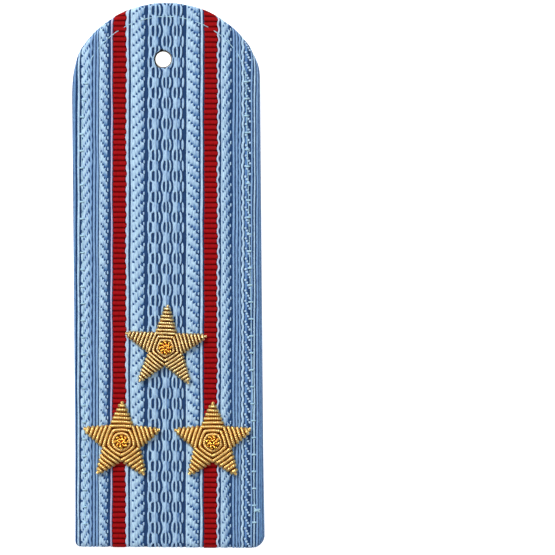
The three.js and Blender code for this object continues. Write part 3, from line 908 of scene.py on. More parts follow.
# %% [markdown]
# ## Straight cords
#
# Single cords run the whole length between the other bands: beside each red stripe, in a group of three
# further out, and along the edges. Past the edge more of them cover the side and the hem, where the
# galloon's selvedge is folded under.

# %% Straight cords
PALE_CORDS = [
    {"at": -23.2, "width": 0.62}, {"at": -17.5, "width": 0.5},
    {"at": -10.1, "width": 0.5}, {"at": -9.12, "width": 0.55},
    {"at": 5.64, "width": 0.56}, {"at": 9.48, "width": 0.7}, {"at": 14.86, "width": 0.5},
    {"at": 23.5, "width": 0.42},
]
MID_CORDS = [
    {"at": -18.22, "width": 0.66}, {"at": -19.05, "width": 0.66},
    {"at": -19.92, "width": 0.66, "swing": 0.09},
    {"at": 17.98, "width": 0.64}, {"at": 18.82, "width": 0.66},
    {"at": 19.6, "width": 0.6, "swing": 0.06},
    {"at": 22.75, "width": 0.5}, {"at": 24.3, "width": 0.62},
]
EDGE_CORDS = [{"at": -24.45, "width": 1.0}, {"at": 25.0, "width": 0.6}]
BRIGHT_CORD = {"at": 20.42, "width": 0.66, "swing": 0.13, "near": 19.4}  # ground shows in its bends
ROSE_CORDS = [{"at": -14.42, "width": 0.48}]
SELVEDGE_FROM, SELVEDGE_TO, SELVEDGE_PITCH = 25.6, 34.5, 0.82
SELVEDGE_WIDTH = 0.95  # of a cord, as a share of the pitch
CORD_HEIGHT = 0.36


def straight_cords(name, cords, material, step=STRAIGHT_STEP):
    """Cords in mm. A swing moves one from side to side in step with the twill, furthest right at near."""
    flats = []
    for cord in cords:
        swing = cord.get("swing", 0)
        flats.append(laid_cord(
            cord["at"] + swing, cord["at"] - swing, cord.get("near", 0), cord["width"], CORD_HEIGHT,
            BENT_STEP if swing else step, repeat=TWILL_REPEAT,
        ))
    return folded_piece(name, flats, material)


def selvedge():
    count = math.ceil((SELVEDGE_TO - SELVEDGE_FROM) / SELVEDGE_PITCH)
    cords = EDGE_CORDS + [
        {"at": side * (SELVEDGE_FROM + i * SELVEDGE_PITCH), "width": SELVEDGE_PITCH * SELVEDGE_WIDTH}
        for side in (-1, 1) for i in range(count)
    ]
    return straight_cords("galloon_selvedge", cords, EDGE_CORD, step=HIDDEN_STEP)


pale_cords = straight_cords("galloon_pale_cords", PALE_CORDS + [BRIGHT_CORD], PALE_CORD)
mid_cords = straight_cords("galloon_mid_cords", MID_CORDS, MID_CORD)
rose_cords = straight_cords("galloon_cords_beside_red", ROSE_CORDS, ROSE_YARN)
selvedge_cords = selvedge()

# %% [markdown]
# ## Twill bands
#
# In a twill each column of floats is a step ahead of the last, so the pits between their ends line up on a
# slant. Neighbouring floats are pressed over each other. In each pit a dark knuckle of the weft shows, and
# between two pits a bright one, which keeps every pit a separate dot. Towards a band's right side the weave
# sinks: the floats lie lower and dip at their lower ends, and past the last of them only a row of pale
# heads shows. The right border is plain, with short floats far apart. The bands differ in width, in slant
# and in the ground they show.

# %% Twill bands
BANDS = [
    {"name": "border_left", "at": -22.15, "pit_at": 17.1, "pit": 0.32, "spacing": 0.42, "columns": 5,
     "slant": 1, "fall": 0.012, "tilt": 0.8},
    {"name": "outer_left", "at": -17.2, "pit_at": 19.2, "pit": 0.3, "spacing": 0.46, "columns": 4,
     "slant": -1, "fall": 0.05, "tilt": 3,
     "heads": {"at": -15.42, "row_at": 20.0, "length": 0.95, "width": 0.46}},
    {"name": "inner_left", "at": -8.6, "pit_at": 20.0, "pit": 0.28, "spacing": 0.735, "columns": 4,
     "slant": 1, "fall": 0.034, "tilt": 2,
     "heads": {"at": -5.85, "row_at": 19.2, "length": 1.0, "width": 0.46}},
    {"name": "inner_right", "at": 6.0, "pit_at": 19.1, "pit": 0.28, "spacing": 0.73, "columns": 4,
     "slant": -1, "fall": 0.042, "tilt": 2.3,
     "heads": {"at": 8.62, "row_at": 17.2, "length": 0.9, "width": 0.46}},
    {"name": "outer_right", "at": 15.2, "pit_at": 19.7, "pit": 0.3, "spacing": 0.48, "columns": 4,
     "slant": 1, "fall": 0.05, "tilt": 3,
     "heads": {"at": 17.15, "row_at": 18.8, "length": 0.95, "width": 0.42}},
    {"name": "border_right", "at": 21.15, "pit_at": 19.5, "pit": 2.12, "spacing": 0.37, "columns": 4,
     "slant": -1, "fall": 0, "tilt": 0},
]
PITTED = BANDS[:-1]
HEADS_TOP = -0.12
OVERLAP = 1.75  # a float's width as a share of the columns' spacing
SHORTEN = 0.06  # how much shorter each column's floats are than those on its left, as a share
# Bright knuckles between the pits and dark ones in them. Their width is a share of the spacing too, and
# they stand across the diagonal. The bright ones lie a little aside of the middle between two pits, and
# below it.
BRIGHT = {"length": 0.95, "width": 0.58, "top": -0.03}
DARK = {"length": 0.54, "width": 0.68, "top": -0.02}
BRIGHT_ASIDE, BRIGHT_BELOW = 0.1, 0.2
KNUCKLE_TURN = 28
# From which column the mid-blue weft lies under a band, under how many columns' width, and how deep.
BACKED = {"border_left": (0, 5, 0.16), "border_right": (0, 2, 0.26)}
BACKED_ELSE = (2, 1.6, 0.28)
BACKING_HEIGHT = 0.2
BED_STEP = 0.8


def band_floats(band, aside, along, length, width, **more):
    """Floats in step with a band's own, this far aside of and along from the pits of its columns."""
    return laid_floats(
        band["at"] + aside, band["pit_at"] + along, length, band["spacing"] * width,
        spacing=band["spacing"], shift=band["slant"] * TWILL_REPEAT / 4, **more,
    )


def knuckles(band, columns, sort, aside=0, along=0):
    """A band's bright or dark knuckles of weft, turned across its diagonal."""
    return band_floats(
        band, aside, along, **sort, columns=columns, fall=band["fall"] / 2, points=5,
        turn=band["slant"] * KNUCKLE_TURN,
    )


def twill(band):
    """One band: its floats, the bright knuckles between their pits and the heads on its right."""
    pitted = band in PITTED
    flats = [band_floats(
        band, 0, TWILL_REPEAT / 2, TWILL_REPEAT - band["pit"], OVERLAP, columns=band["columns"],
        fall=band["fall"], tilt=band["tilt"], shorten=SHORTEN if pitted else 0,
    )]
    if pitted:
        aside = band["spacing"] / 2 + band["slant"] * BRIGHT_ASIDE
        along = band["slant"] * TWILL_REPEAT / 8 - BRIGHT_BELOW
        flats.append(knuckles(band, band["columns"] - 1, BRIGHT, aside, along))
    if "heads" in band:
        flats.append(laid_floats(**band["heads"], top=HEADS_TOP))
    return folded_piece("galloon_twill_" + band["name"], flats, PALE_FLOAT if pitted else PALE_CORD)


def pits():
    """The dark knuckles of weft, one in each column's pit."""
    flats = [knuckles(band, band["columns"], DARK) for band in PITTED]
    return folded_piece("galloon_twill_pits", flats, DEEP_WEFT)


def bed(middle, width, height, top):
    """A flat bed of weft under a band."""
    return laid_cord(middle, middle, 0, width, height, BED_STEP, top=top)


def backing():
    """The mid-blue weft in the pits: all over the left border, and under a part of every other band."""
    flats = []
    for band in BANDS:
        start, reach, depth = BACKED.get(band["name"], BACKED_ELSE)
        middle = band["at"] + (start + reach / 2 - 0.5) * band["spacing"]
        flats.append(bed(middle, reach * band["spacing"], BACKING_HEIGHT, -depth))
    return folded_piece("galloon_backing_weft", flats, BACKING)


twills = [twill(band) for band in BANDS]
pit_weft = pits()
backing_weft = backing()

# %% [markdown]
# ## Red stripes
#
# Each stripe is a row of stout cross ribs, wound with crimson yarn. On the right they meet a white cord,
# which bends in over every second rib and out round the end of the next, longer one. Ribs are bars laid
# across, with the fine threads that wrap them modelled as shallow flutes.

# %% Ribs of the red stripes
RIB_SWELL = 0.62
RIB_END, RIB_BLUNT = 1.03, 20.0
RIB_WIDTH = 0.94  # as a share of the ribs' pitch
LOBE = 0.3  # how much longer every second rib is
RED_BED = {"wider": 0.1, "height": 0.3, "top": -0.2}
RIB_TOP = 0.06  # how far the ribs stand over the galloon's highest threads
FLUTES, FLUTE_DEPTH = 12, 0.03  # round a rib, and how deep as a share of its radius
STRIPES = [
    {"name": "left", "from": -14.12, "to": -10.72, "white_at": 20.2},
    {"name": "right", "from": 10.05, "to": 13.5, "white_at": 20.05},
]


def rib_tree():
    tree, given = geometry_tree("ribs", Int=["Rows"], Float=[
        "From", "To", "Lobe", "Pitch", "First", "Width", "Height", "Flute",
    ])
    points = add(tree, "GeometryNodeMeshLine", {"Count": given["Rows"]}, mode="OFFSET")
    index = add(tree, "GeometryNodeInputIndex")
    odd = add(tree, MATH, [index, 2.0], operation="MODULO")
    right = add(tree, MATH, [odd, given["Lobe"], given["To"]], operation="MULTIPLY_ADD")
    reach = add(tree, MATH, [right, given["From"]], operation="SUBTRACT")
    x = add(tree, MATH, [reach, 0.5, given["From"]], operation="MULTIPLY_ADD")
    y = add(tree, MATH, [index, given["Pitch"], given["First"]], operation="MULTIPLY_ADD")
    z = add(tree, MATH, [given["Height"], -0.5, RIB_TOP * MM], operation="MULTIPLY_ADD")
    place = add(tree, "ShaderNodeCombineXYZ", [x, y, z])
    row = add(tree, "GeometryNodeSetPosition", {"Geometry": points, "Position": place})

    start = add(tree, "ShaderNodeCombineXYZ", {"X": -0.5})
    end = add(tree, "ShaderNodeCombineXYZ", {"X": 0.5})
    line = add(tree, "GeometryNodeCurvePrimitiveLine", {"Start": start, "End": end})
    stepped = add(tree, "GeometryNodeResampleCurve", {"Curve": line, "Count": 25}, mode="COUNT")
    factor = add(tree, "GeometryNodeSplineParameter").outputs["Factor"]
    share = add(tree, MATH, [factor, 2.0, -1.0], operation="MULTIPLY_ADD")
    from_middle = add(tree, MATH, [share], operation="ABSOLUTE")
    near_end = add(tree, MATH, [from_middle, RIB_BLUNT], operation="POWER")
    fullness = add(tree, MATH, [RIB_END, near_end], operation="SUBTRACT")
    swell = add(tree, MATH, [fullness], operation="SQRT")
    angle = add(tree, MATH, [factor, FLUTES * math.tau], operation="MULTIPLY")
    wave = add(tree, MATH, [angle], operation="COSINE")
    fluted = add(tree, MATH, [wave, given["Flute"], 1.0], operation="MULTIPLY_ADD")
    size = add(tree, MATH, [swell, fluted], operation="MULTIPLY")
    bar = add(tree, "GeometryNodeCurveToMesh", {
        "Curve": stepped, "Profile Curve": pressed_round(tree, given, 12), "Scale": size, "Fill Caps": True,
    })
    stretch = add(tree, "ShaderNodeCombineXYZ", {"X": reach, "Y": 1.0, "Z": 1.0})
    bars = add(tree, "GeometryNodeInstanceOnPoints", {"Points": row, "Instance": bar, "Scale": stretch})
    finished(tree, bars)
    return tree


RIBS = rib_tree()


def stripe(sizes):
    """The ribs of one stripe. The first is a short one, and so is every second one after it."""
    start, end = sizes["from"], sizes["to"]
    flat = laid_flat(RIBS, {
        "From": start, "To": end, "Lobe": LOBE, "Pitch": RIB,
        "First": first_row(sizes["white_at"], TWILL_REPEAT), "Width": RIB * RIB_WIDTH, "Height": RIB_SWELL,
    }, {"Rows": row_count(RIB), "Flute": FLUTE_DEPTH})
    under = bed((start + end) / 2, end - start + RED_BED["wider"], RED_BED["height"], RED_BED["top"])
    return folded_piece("red_stripe_ribs_" + sizes["name"], [flat, under], RED_YARN)


stripes = [stripe(sizes) for sizes in STRIPES]

# %% White cords beside the ribs
WHITE_CORD = {"beside": 0.38, "width": 0.56, "swing": -0.16}
white_cords = straight_cords("galloon_white_cords", [
    {**WHITE_CORD, "at": sizes["to"] + WHITE_CORD["beside"], "near": sizes["white_at"]} for sizes in STRIPES
], WHITE_YARN)

# %% [markdown]
# ## Stars of bullion wire
#
# Bullion is fine gilt wire coiled tight round a needle, so it looks like a ribbed cord that bends easily.
# The embroiderer cuts it to length, threads it like a bead and lays it in rows over a padded star. The rows
# lie square across each arm, and near the middle they meet and close into pentagons. The same few sizes as
# the solid star's give every row its place, and a function of the place gives its height over the pad.

# %% Places on a star
STAR_BASE = 3.95
PAD_HEIGHT = 1.9
RIM_HEIGHT = 0.7
STAR_MIDDLE = 1.5
ARM_END_WIDTH = 1.5
TAIL = 0.5
RINGS = 3
RING_POINTS = 100
LAST_RING = 0.3  # of a row's spacing, which the last ring's crest keeps inside its row's edge
ARM_FALL = 0.22  # how much lower the pad is at an arm's end than in the middle, as a share
ROUND_REACH = 0.11  # how much further out a round ring lies than a pentagon's side, as a share
STARS = [
    {"name": "star_top", "at": (-0.7, -19.1), "turn": 2.7, "wire": 0.92, "share": 0.41, "arm_rows": 7,
     "round": (0.3, 0.15, 0.1), "chips_turn": 0},
    {"name": "star_left", "at": (-12.6, -43.9), "turn": 1.3, "wire": 1.06, "share": 0.44, "arm_rows": 5,
     "round": (0.85, 0.45, 0.15), "chips_turn": 130},
    {"name": "star_right", "at": (11.6, -44.3), "turn": 0.5, "wire": 1.06, "share": 0.44, "arm_rows": 5,
     "round": (0.7, 0.35, 0.15), "chips_turn": 250},
]
FIFTH = math.tau / 5


def star_sizes(star):
    """How far the last ring and the last row reach, and half the arm's width at the last ring."""
    ring_reach = STAR_MIDDLE + (RINGS - LAST_RING) * star["wire"]
    reach = STAR_MIDDLE + (RINGS + star["arm_rows"]) * star["wire"]
    return ring_reach, reach, ring_reach * math.tan(FIFTH / 2)


def wire_radius(star):
    return star["share"] * star["wire"]


def half_width(star, out):
    ring_reach, reach, ring_half = star_sizes(star)
    share = (out - ring_reach) / (reach - ring_reach)
    if out <= ring_reach:
        return out * math.tan(FIFTH / 2)
    return ring_half + (ARM_END_WIDTH / 2 - ring_half) * share


def height_over_pad(star, out, share):
    """Height of the star's surface at this distance out and this share of the way across the arm."""
    ring_reach, reach, _ = star_sizes(star)
    middle = PAD_HEIGHT * (1 - ARM_FALL * (out / reach) ** 2)
    edge = RIM_HEIGHT + (middle - RIM_HEIGHT) * math.sqrt(max(0, 1 - (out / ring_reach) ** 2))
    return edge + (middle - edge) * math.sqrt(max(0, 1 - share ** 2))


def on_arm(arm, out, across, height):
    """A star's own point from a place on one of its arms."""
    angle = arm * FIFTH
    return (
        -out * math.sin(angle) + across * math.cos(angle),
        out * math.cos(angle) + across * math.sin(angle),
        height,
    )


def on_board(star, points):
    """Points of a star at the origin, turned and moved to its place on the board, in mm."""
    turn = -math.radians(star["turn"])
    x, y, z = np.asarray(points, float).T
    return np.stack([
        star["at"][0] + x * math.cos(turn) - y * math.sin(turn),
        star["at"][1] + x * math.sin(turn) + y * math.cos(turn),
        STAR_BASE + z,
    ], 1)


print("stars reach", [round(star_sizes(star)[1] + TAIL, 2) for star in STARS], "mm from their middles")

# %% [markdown]
# Each row is a list of points: a closed ring near the middle, and further out an arch that climbs from the
# cloth, crosses the arm and comes down on its other side. Rows laid by hand are never quite parallel, so
# each is turned and shifted a little by a fixed chance. A star's share is its wire's radius over the
# spacing of its rows.

# %% Rows of wire
hand = np.random.default_rng(4)


def ring_row(star, ring):
    out = STAR_MIDDLE + (ring + 0.5) * star["wire"]
    radius = wire_radius(star)
    roundness = star["round"][ring]
    points = []
    for angle in np.linspace(0, math.tau, RING_POINTS, endpoint=False):
        arm = round(angle / FIFTH)
        slope = math.tan(angle - arm * FIFTH)
        share = slope / math.tan(FIFTH / 2)
        circle = out * (1 + ROUND_REACH * roundness) * math.cos(angle - arm * FIFTH)
        length = out * (1 - roundness) + circle * roundness
        height = height_over_pad(star, out, share) - radius
        points.append(on_arm(arm % 5, length, -length * slope, height))
    return points


def arm_row(star, arm, row):
    radius = wire_radius(star)
    out = STAR_MIDDLE + (RINGS + row + 0.5) * star["wire"] + hand.normal(0, 0.03)
    half = half_width(star, out) - radius * 0.7
    lean = hand.normal(0, 0.02)
    shares = np.sin(np.linspace(-math.pi / 2, math.pi / 2, 15))
    arch = [(s * half, height_over_pad(star, out, s) - radius) for s in shares]
    foot = half * 1.02
    points = [(-foot, 0.1), *arch, (foot, 0.1)]
    return [on_arm(arm, out + lean * x - 0.02 * x * x, x, z) for x, z in points]


def tail_row(star, arm):
    _, reach, _ = star_sizes(star)
    radius = 0.38 * star["wire"]
    swing = hand.normal(0, 0.12)
    starts, ends = reach - star["wire"] * 0.4, reach + TAIL
    return [
        on_arm(arm, out, swing * (out - starts), radius + 0.35 * (1 - (out - starts) / (ends - starts)))
        for out in np.linspace(starts, ends, 6)
    ]


# %% [markdown]
# The tree that makes bullion takes lines and sweeps a round section along them. The coil is a ridge that
# winds round the tube: its height is a cosine of the length along the wire plus the angle round it.

# %% Bullion tree
COIL_PITCH = 0.46  # mm from one turn of the coil to the next, drawn a little coarser than real bullion
COIL_DEPTH = 0.07


def bullion_tree():
    tree, given = geometry_tree(
        "bullion", Geometry=["Lines"], Int=["Sides"], Float=["Radius", "Pitch", "Depth", "Step"],
    )
    curves = add(tree, "GeometryNodeMeshToCurve", {"Mesh": given["Lines"]})
    steps = {"Curve": curves, "Length": given["Step"]}
    stepped = add(tree, "GeometryNodeResampleCurve", steps, mode="LENGTH")
    length = add(tree, "GeometryNodeSplineParameter").outputs["Length"]
    measured = add(tree, "GeometryNodeStoreNamedAttribute", {
        "Geometry": stepped, "Name": "along", "Value": length,
    }, data_type="FLOAT", domain="POINT")
    section = add(tree, "GeometryNodeCurvePrimitiveCircle", {
        "Resolution": given["Sides"], "Radius": given["Radius"],
    })
    index = add(tree, "GeometryNodeInputIndex")
    part = add(tree, MATH, [index, given["Sides"]], operation="DIVIDE")
    angle = add(tree, MATH, [part, math.tau], operation="MULTIPLY")
    marked = add(tree, "GeometryNodeStoreNamedAttribute", {
        "Geometry": section, "Name": "round", "Value": angle,
    }, data_type="FLOAT", domain="POINT")
    tube = add(tree, "GeometryNodeCurveToMesh", {
        "Curve": measured, "Profile Curve": marked, "Fill Caps": True,
    })
    along, around = (
        add(tree, "GeometryNodeInputNamedAttribute", {"Name": name}, data_type="FLOAT")
        for name in ("along", "round")
    )
    coils = add(tree, MATH, [along, given["Pitch"]], operation="DIVIDE")
    wound = add(tree, MATH, [coils, math.tau], operation="MULTIPLY")
    turned = add(tree, MATH, [wound, around], operation="ADD")
    ridge = add(tree, MATH, [turned], operation="COSINE")
    raised = add(tree, MATH, [ridge, given["Depth"]], operation="MULTIPLY")
    normal = add(tree, "GeometryNodeInputNormal")
    push = add(tree, "ShaderNodeVectorMath", {0: normal, "Scale": raised}, operation="SCALE")
    coiled = add(tree, "GeometryNodeSetPosition", {"Geometry": tube, "Offset": push})
    finished(tree, coiled)
    return tree


BULLION = bullion_tree()


def line_mesh(rows):
    """Edges along rows of points, in mm. A row is a (points, closed) pair."""
    points, edges = [], []
    for row, closed in rows:
        first, count = len(points), len(row)
        points += [tuple(np.array(p) * MM) for p in row]
        edges += [(first + i, first + (i + 1) % count) for i in range(count if closed else count - 1)]
    mesh = bpy.data.meshes.new("lines")
    mesh.from_pydata(points, edges, [])
    return mesh


def bullion(name, rows, radius, material, step=0.07, sides=9, depth=COIL_DEPTH):
    """Tubes along rows of points, in mm, with the ridge of their coil if it has a depth."""
    lengths = {"Radius": radius, "Pitch": COIL_PITCH, "Depth": depth, "Step": step}
    mesh = laid_flat(BULLION, lengths, {"Sides": sides}, line_mesh(rows))
    mesh.materials.clear()
    mesh.materials.append(material)
    made = bpy.data.objects.new(name, mesh)
    bpy.context.scene.collection.objects.link(made)
    return smoothed(merged(made))


# %% [markdown]
# ## Gilt wire
#
# The wire is silvered copper with a thin gold wash, and new gilt is bright. Its colour comes in three
# shades by how open a point is, which the ambient occlusion node measures: painted shade, brown, where
# other metal stands close between its coils and rows, and a painted highlight, pale, on the crests.


# %% Gilt wire
OPEN_REACH = 0.5  # mm round a point within which other metal shades it


def gilt_wire(name, highlit_crest, flank, shaded_hollow, roughness):
    """Three shades by openness: painted shade between rows, flank on their sides and painted highlight on
    top.
    """
    material, tree = new_material(name)
    # Painted shade and highlight: the occlusion darkens the metal where rows and coils stand close, and the
    # most open points, the crests, turn pale.
    around = add(tree, "ShaderNodeAmbientOcclusion", {"Distance": OPEN_REACH * MM}, samples=8)
    openness = around.outputs["AO"]
    place = add(tree, "ShaderNodeTexCoord").outputs["Object"]
    wear = add(tree, "ShaderNodeTexNoise", {"Vector": place, "Scale": per(1.111), "Detail": 2.0})
    worn = add(tree, MATH, [wear, 0.3, -0.15], operation="MULTIPLY_ADD")
    share = add(tree, MATH, [openness, worn], operation="ADD")
    low = add(tree, "ShaderNodeMapRange", {"Value": share, "From Min": 0.3, "From Max": 0.62})
    top = add(tree, "ShaderNodeMapRange", {"Value": share, "From Min": 0.62, "From Max": 0.95})
    sides = {"Factor": low, COLOUR_A: linear(shaded_hollow), COLOUR_B: linear(flank)}
    side = add(tree, "ShaderNodeMix", sides, data_type="RGBA")
    shades = {"Factor": top, COLOUR_A: side.outputs[2], COLOUR_B: linear(highlit_crest)}
    colour = add(tree, "ShaderNodeMix", shades, data_type="RGBA")
    shader = add(tree, "ShaderNodeBsdfPrincipled", {
        "Base Color": colour.outputs[2], "Metallic": 1.0, "Roughness": roughness,
    })
    add(tree, "ShaderNodeOutputMaterial", {"Surface": shader})
    return material


# Highlight, flank and shade colours: the first is a painted highlight, the last a painted shade.
PALE_GILT = gilt_wire("gilt_bullion_pale", "#ffe8a8", "#dc9830", "#703606", 0.38)
WARM_GILT = gilt_wire("gilt_bullion_warm", "#f9d78a", "#e8a840", "#b26620", 0.41)
CHIP_GILT = gilt_wire("gilt_bullion_bright_cut", "#ffc452", "#ee7c1a", "#9a2c04", 0.2)

# %% [markdown]
# Under the wire is a pad of felt that gives the star its height. It hardly shows, only as the dark between
# rows, but it carries them, so it has the star's whole form a wire's thickness lower.

# %% Pad
PAD_DROP = 0.55  # the felt's surface lies this far under the wires' crests
PAD_RIM = 0.12  # and at least this far over the cloth
PAD_NARROWER = 0.25


def felt():
    material, tree = new_material("wool_felt_dark_brown")
    place = add(tree, "ShaderNodeTexCoord").outputs["Object"]
    fibres = add(tree, "ShaderNodeTexNoise", {"Vector": place, "Scale": per(0.25), "Detail": 3.0})
    colour = add(tree, "ShaderNodeMix", {
        "Factor": fibres, COLOUR_A: linear("#3c1404"), COLOUR_B: linear("#652308"),
    }, data_type="RGBA")
    shader = add(tree, "ShaderNodeBsdfPrincipled", {
        "Base Color": colour.outputs[2], "Roughness": 0.95, "Specular IOR Level": 0.1,
    })
    add(tree, "ShaderNodeOutputMaterial", {"Surface": shader})
    return material


FELT = felt()


def pad(star):
    ring_reach, reach, _ = star_sizes(star)
    outs = np.concatenate([np.linspace(0.3, ring_reach, 6), np.linspace(ring_reach, reach, 6)[1:]])
    shares = np.linspace(-1, 1, 9)
    points, faces = [], []
    for arm in range(5):
        first = len(points)
        for out in outs:
            half = half_width(star, out)
            narrow = half if out <= ring_reach else half - PAD_NARROWER
            for s in shares:
                height = max(height_over_pad(star, out, s) - PAD_DROP, PAD_RIM)
                points.append(on_arm(arm, out, s * narrow, height))
        width = len(shares)
        for i in range(len(outs) - 1):
            for j in range(width - 1):
                a = first + i * width + j
                faces.append((a, a + 1, a + width + 1, a + width))
        middle = len(points)
        points.append(on_arm(0, 0, 0, PAD_HEIGHT - PAD_DROP))
        faces += [(middle, first + j + 1, first + j) for j in range(width - 1)]
    made = mesh_object(star["name"] + "_pad", on_board(star, points), faces, FELT)
    with opened(made.data) as bm:
        bmesh.ops.remove_doubles(bm, verts=bm.verts, dist=0.02 * MM)
        wall = bmesh.ops.extrude_edge_only(bm, edges=[e for e in bm.edges if e.is_boundary])
        for vertex in wall["geom"]:
            if isinstance(vertex, bmesh.types.BMVert):
                vertex.co.z = STAR_BASE * MM
        bmesh.ops.holes_fill(bm, edges=[e for e in bm.edges if e.is_boundary])
    return made


# %% [markdown]
# The star's middle is filled with chips: snippets of bright bullion sewn on every which way. They stand
# higher than the rows and catch the lamp on their cut coils. Eight lie as the petals of a rosette, and
# three fill it.

# %% Chips
CHIP_CORE = 0.45 - COIL_DEPTH  # the radius of a chip without its coil's ridge
CHIP_BED = PAD_HEIGHT - 0.34 + 0.15
PETALS = 8


def chip_table():
    """Chips of a rosette: distance from its middle, length and height in mm, and angles in degrees."""
    petals = [
        {"out": 1.22 + 0.08 * (i % 2), "bearing": i * 360 / PETALS, "heading": i * 360 / PETALS + 35,
         "length": 0.95, "height": 0.55 + 0.12 * (i % 2), "bend": 40}
        for i in range(PETALS)
    ]
    return petals + [
        {"out": 0.5, "bearing": 330, "heading": 60, "length": 0.9, "height": 0.7, "bend": -30},
        {"out": 0.5, "bearing": 210, "heading": 100, "length": 0.8, "height": 0.66, "bend": 30},
        {"out": 0.45, "bearing": 80, "heading": 15, "length": 0.8, "height": 0.86, "bend": 30},
    ]


def chip_row(star, chip):
    turn = star["chips_turn"]
    bearing, heading = math.radians(chip["bearing"] + turn), math.radians(chip["heading"] + turn)
    along = np.array([math.cos(heading), math.sin(heading)])
    beside = np.array([-along[1], along[0]])
    middle = chip["out"] * np.array([math.cos(bearing), math.sin(bearing)])
    points = []
    for share in np.linspace(-0.5, 0.5, 7):
        bow = math.radians(chip["bend"]) * chip["length"] * (share ** 2 - 0.08)
        xy = middle + along * share * chip["length"] + beside * bow
        points.append((*xy, CHIP_BED + chip["height"] - 0.5 * share ** 2))
    return points


stars = []
for star in STARS:
    gilt = PALE_GILT if star["name"] == "star_top" else WARM_GILT
    rows = [(on_board(star, ring_row(star, ring)), True) for ring in range(RINGS)]
    for arm in range(5):
        rows += [(on_board(star, arm_row(star, arm, row)), False) for row in range(star["arm_rows"])]
    rows += [(on_board(star, tail_row(star, arm)), False) for arm in range(5)]
    wires = bullion(star["name"] + "_wire", rows, wire_radius(star), gilt)
    chip_rows = [(on_board(star, chip_row(star, chip)), False) for chip in chip_table()]
    chips = bullion(star["name"] + "_bright_chips", chip_rows, CHIP_CORE, CHIP_GILT, step=0.08)
    stars.append({"name": star["name"], "wires": wires, "pad": pad(star), "chips": chips})

# %% [markdown]
# ## The seam
#
# A hand seam holds the hem. It runs round the board a little inside the edge, in long running stitches that
# sink into the weave, and along the sides the thread crosses over itself between two of them, as a small
# pale cross. Round the tip the seam keeps further in. The bullion tree without its coil sweeps the threads.

# %% Seam stitches
SEAM_INSET = {"side": 2.5, "tip": 3.8}
SEAM_TURN = (38, 54)  # mm up the board from its middle, between which the seam moves in
STITCH_PITCH = 4.53
STITCH_AT = 6.8  # mm up the board from its middle to one of the crosses
SEAM_FOOT = -68
THREAD_RADIUS = 0.12
# A thread's crest lies at top over the galloon's, and its ends sag below that.
STITCH = {"top": -0.06, "sag": 0.3}
CROSS = {"top": 0.02, "sag": 0.42, "reach": 0.5, "radius": 0.26}
KNOT = {"top": 0.1, "sag": 0.3, "reach": 0.8, "at": (23.2, -62.5), "headings": (20, 150)}
SEAM_STEP = 0.1


def sewing_thread():
    """Pale sea-green cotton, matt, a shade greener than everything round it."""
    material, tree = new_material("cotton_sewing_thread")
    place = add(tree, "ShaderNodeTexCoord").outputs["Object"]
    drift = add(tree, "ShaderNodeTexNoise", {"Vector": place, "Scale": per(1.429), "Detail": 2.0})
    colour = add(tree, "ShaderNodeMix", {
        "Factor": drift, COLOUR_A: linear("#8cbad6"), COLOUR_B: linear("#bfe0ec"),
    }, data_type="RGBA")
    shader = add(tree, "ShaderNodeBsdfPrincipled", {
        "Base Color": colour.outputs[2], "Roughness": 0.6, "Specular IOR Level": 0.3,
    })
    add(tree, "ShaderNodeOutputMaterial", {"Surface": shader})
    return material


def seam_path(side):
    """Points of the seam from the foot to the middle of the tip on one side, a SEAM_STEP apart."""
    outer, inner = outline(SEAM_INSET["side"]), outline(SEAM_INSET["tip"])
    share = np.clip((outer[:, 1] - SEAM_TURN[0]) / (SEAM_TURN[1] - SEAM_TURN[0]), 0, 1)[:, None]
    line = outer + (inner - outer) * share ** 2 * (3 - 2 * share)
    line = line[(line[:, 0] * side > 0.5) & (line[:, 1] > SEAM_FOOT + 6)]
    line = line[np.argsort(line[:, 1])]
    line = np.concatenate([[[line[0, 0], SEAM_FOOT]], line, [[0, TIP_Y - SEAM_INSET["tip"]]]])
    run = np.concatenate([[0], np.cumsum(np.hypot(*np.diff(line, axis=0).T))])
    even = np.arange(0, run[-1], SEAM_STEP)
    return np.stack([np.interp(even, run, line[:, 0]), np.interp(even, run, line[:, 1])], 1)


def sewn(xy, thread, sunk):
    """An open row of points along a thread, sunk by shares of its sag."""
    return np.column_stack([xy, FACE + thread["top"] - thread["sag"] * sunk]), False


def seam():
    long_rows, cross_rows = [], []
    for side in (-1, 1):
        path = seam_path(side)
        pitch = int(STITCH_PITCH / SEAM_STEP)
        first = int((STITCH_AT - SEAM_FOOT) % STITCH_PITCH / SEAM_STEP)
        for start in range(first, len(path) - 5, pitch):
            part = path[start + 3:start + pitch - 2:3]
            if len(part) > 4:
                long_rows.append(sewn(part, STITCH, np.linspace(-1, 1, len(part)) ** 4))
            if path[start, 1] > SEAM_TURN[1]:
                continue
            across = path[start] - path[max(start - 4, 0)]
            across = np.array([-across[1], across[0]]) / max(np.hypot(*across), 1e-6)
            shares = np.linspace(-1, 1, 7)
            xy = path[start] + shares[:, None] * across * CROSS["reach"]
            cross_rows.append(sewn(xy, CROSS, shares ** 4))
    for heading in KNOT["headings"]:
        shares = np.linspace(-1, 1, 9)
        along = np.array([math.cos(math.radians(heading)), math.sin(math.radians(heading))])
        xy = KNOT["at"] + shares[:, None] * along * KNOT["reach"]
        cross_rows.append(sewn(xy, KNOT, shares ** 2))
    thread = sewing_thread()
    return [
        bullion("galloon_seam_stitches", long_rows, THREAD_RADIUS, thread, step=0.3, sides=7, depth=0),
        bullion("galloon_seam_crosses", cross_rows, CROSS["radius"], thread, step=0.15, sides=8, depth=0),
    ]


seams = seam()

# %% [markdown]
# ## Card
#
# The stiffener is grey-beige fibre board. It shows in the button hole and between the hems on the back, so
# the solid part's own card stays and only gets its finish: pressed fibres, a little uneven in tone, and a
# painted shadow round the button hole.


# %% Card
UNSHADED_ASIDE = (0.42, -0.3)  # mm from the hole's middle to that of the part free of painted shadow
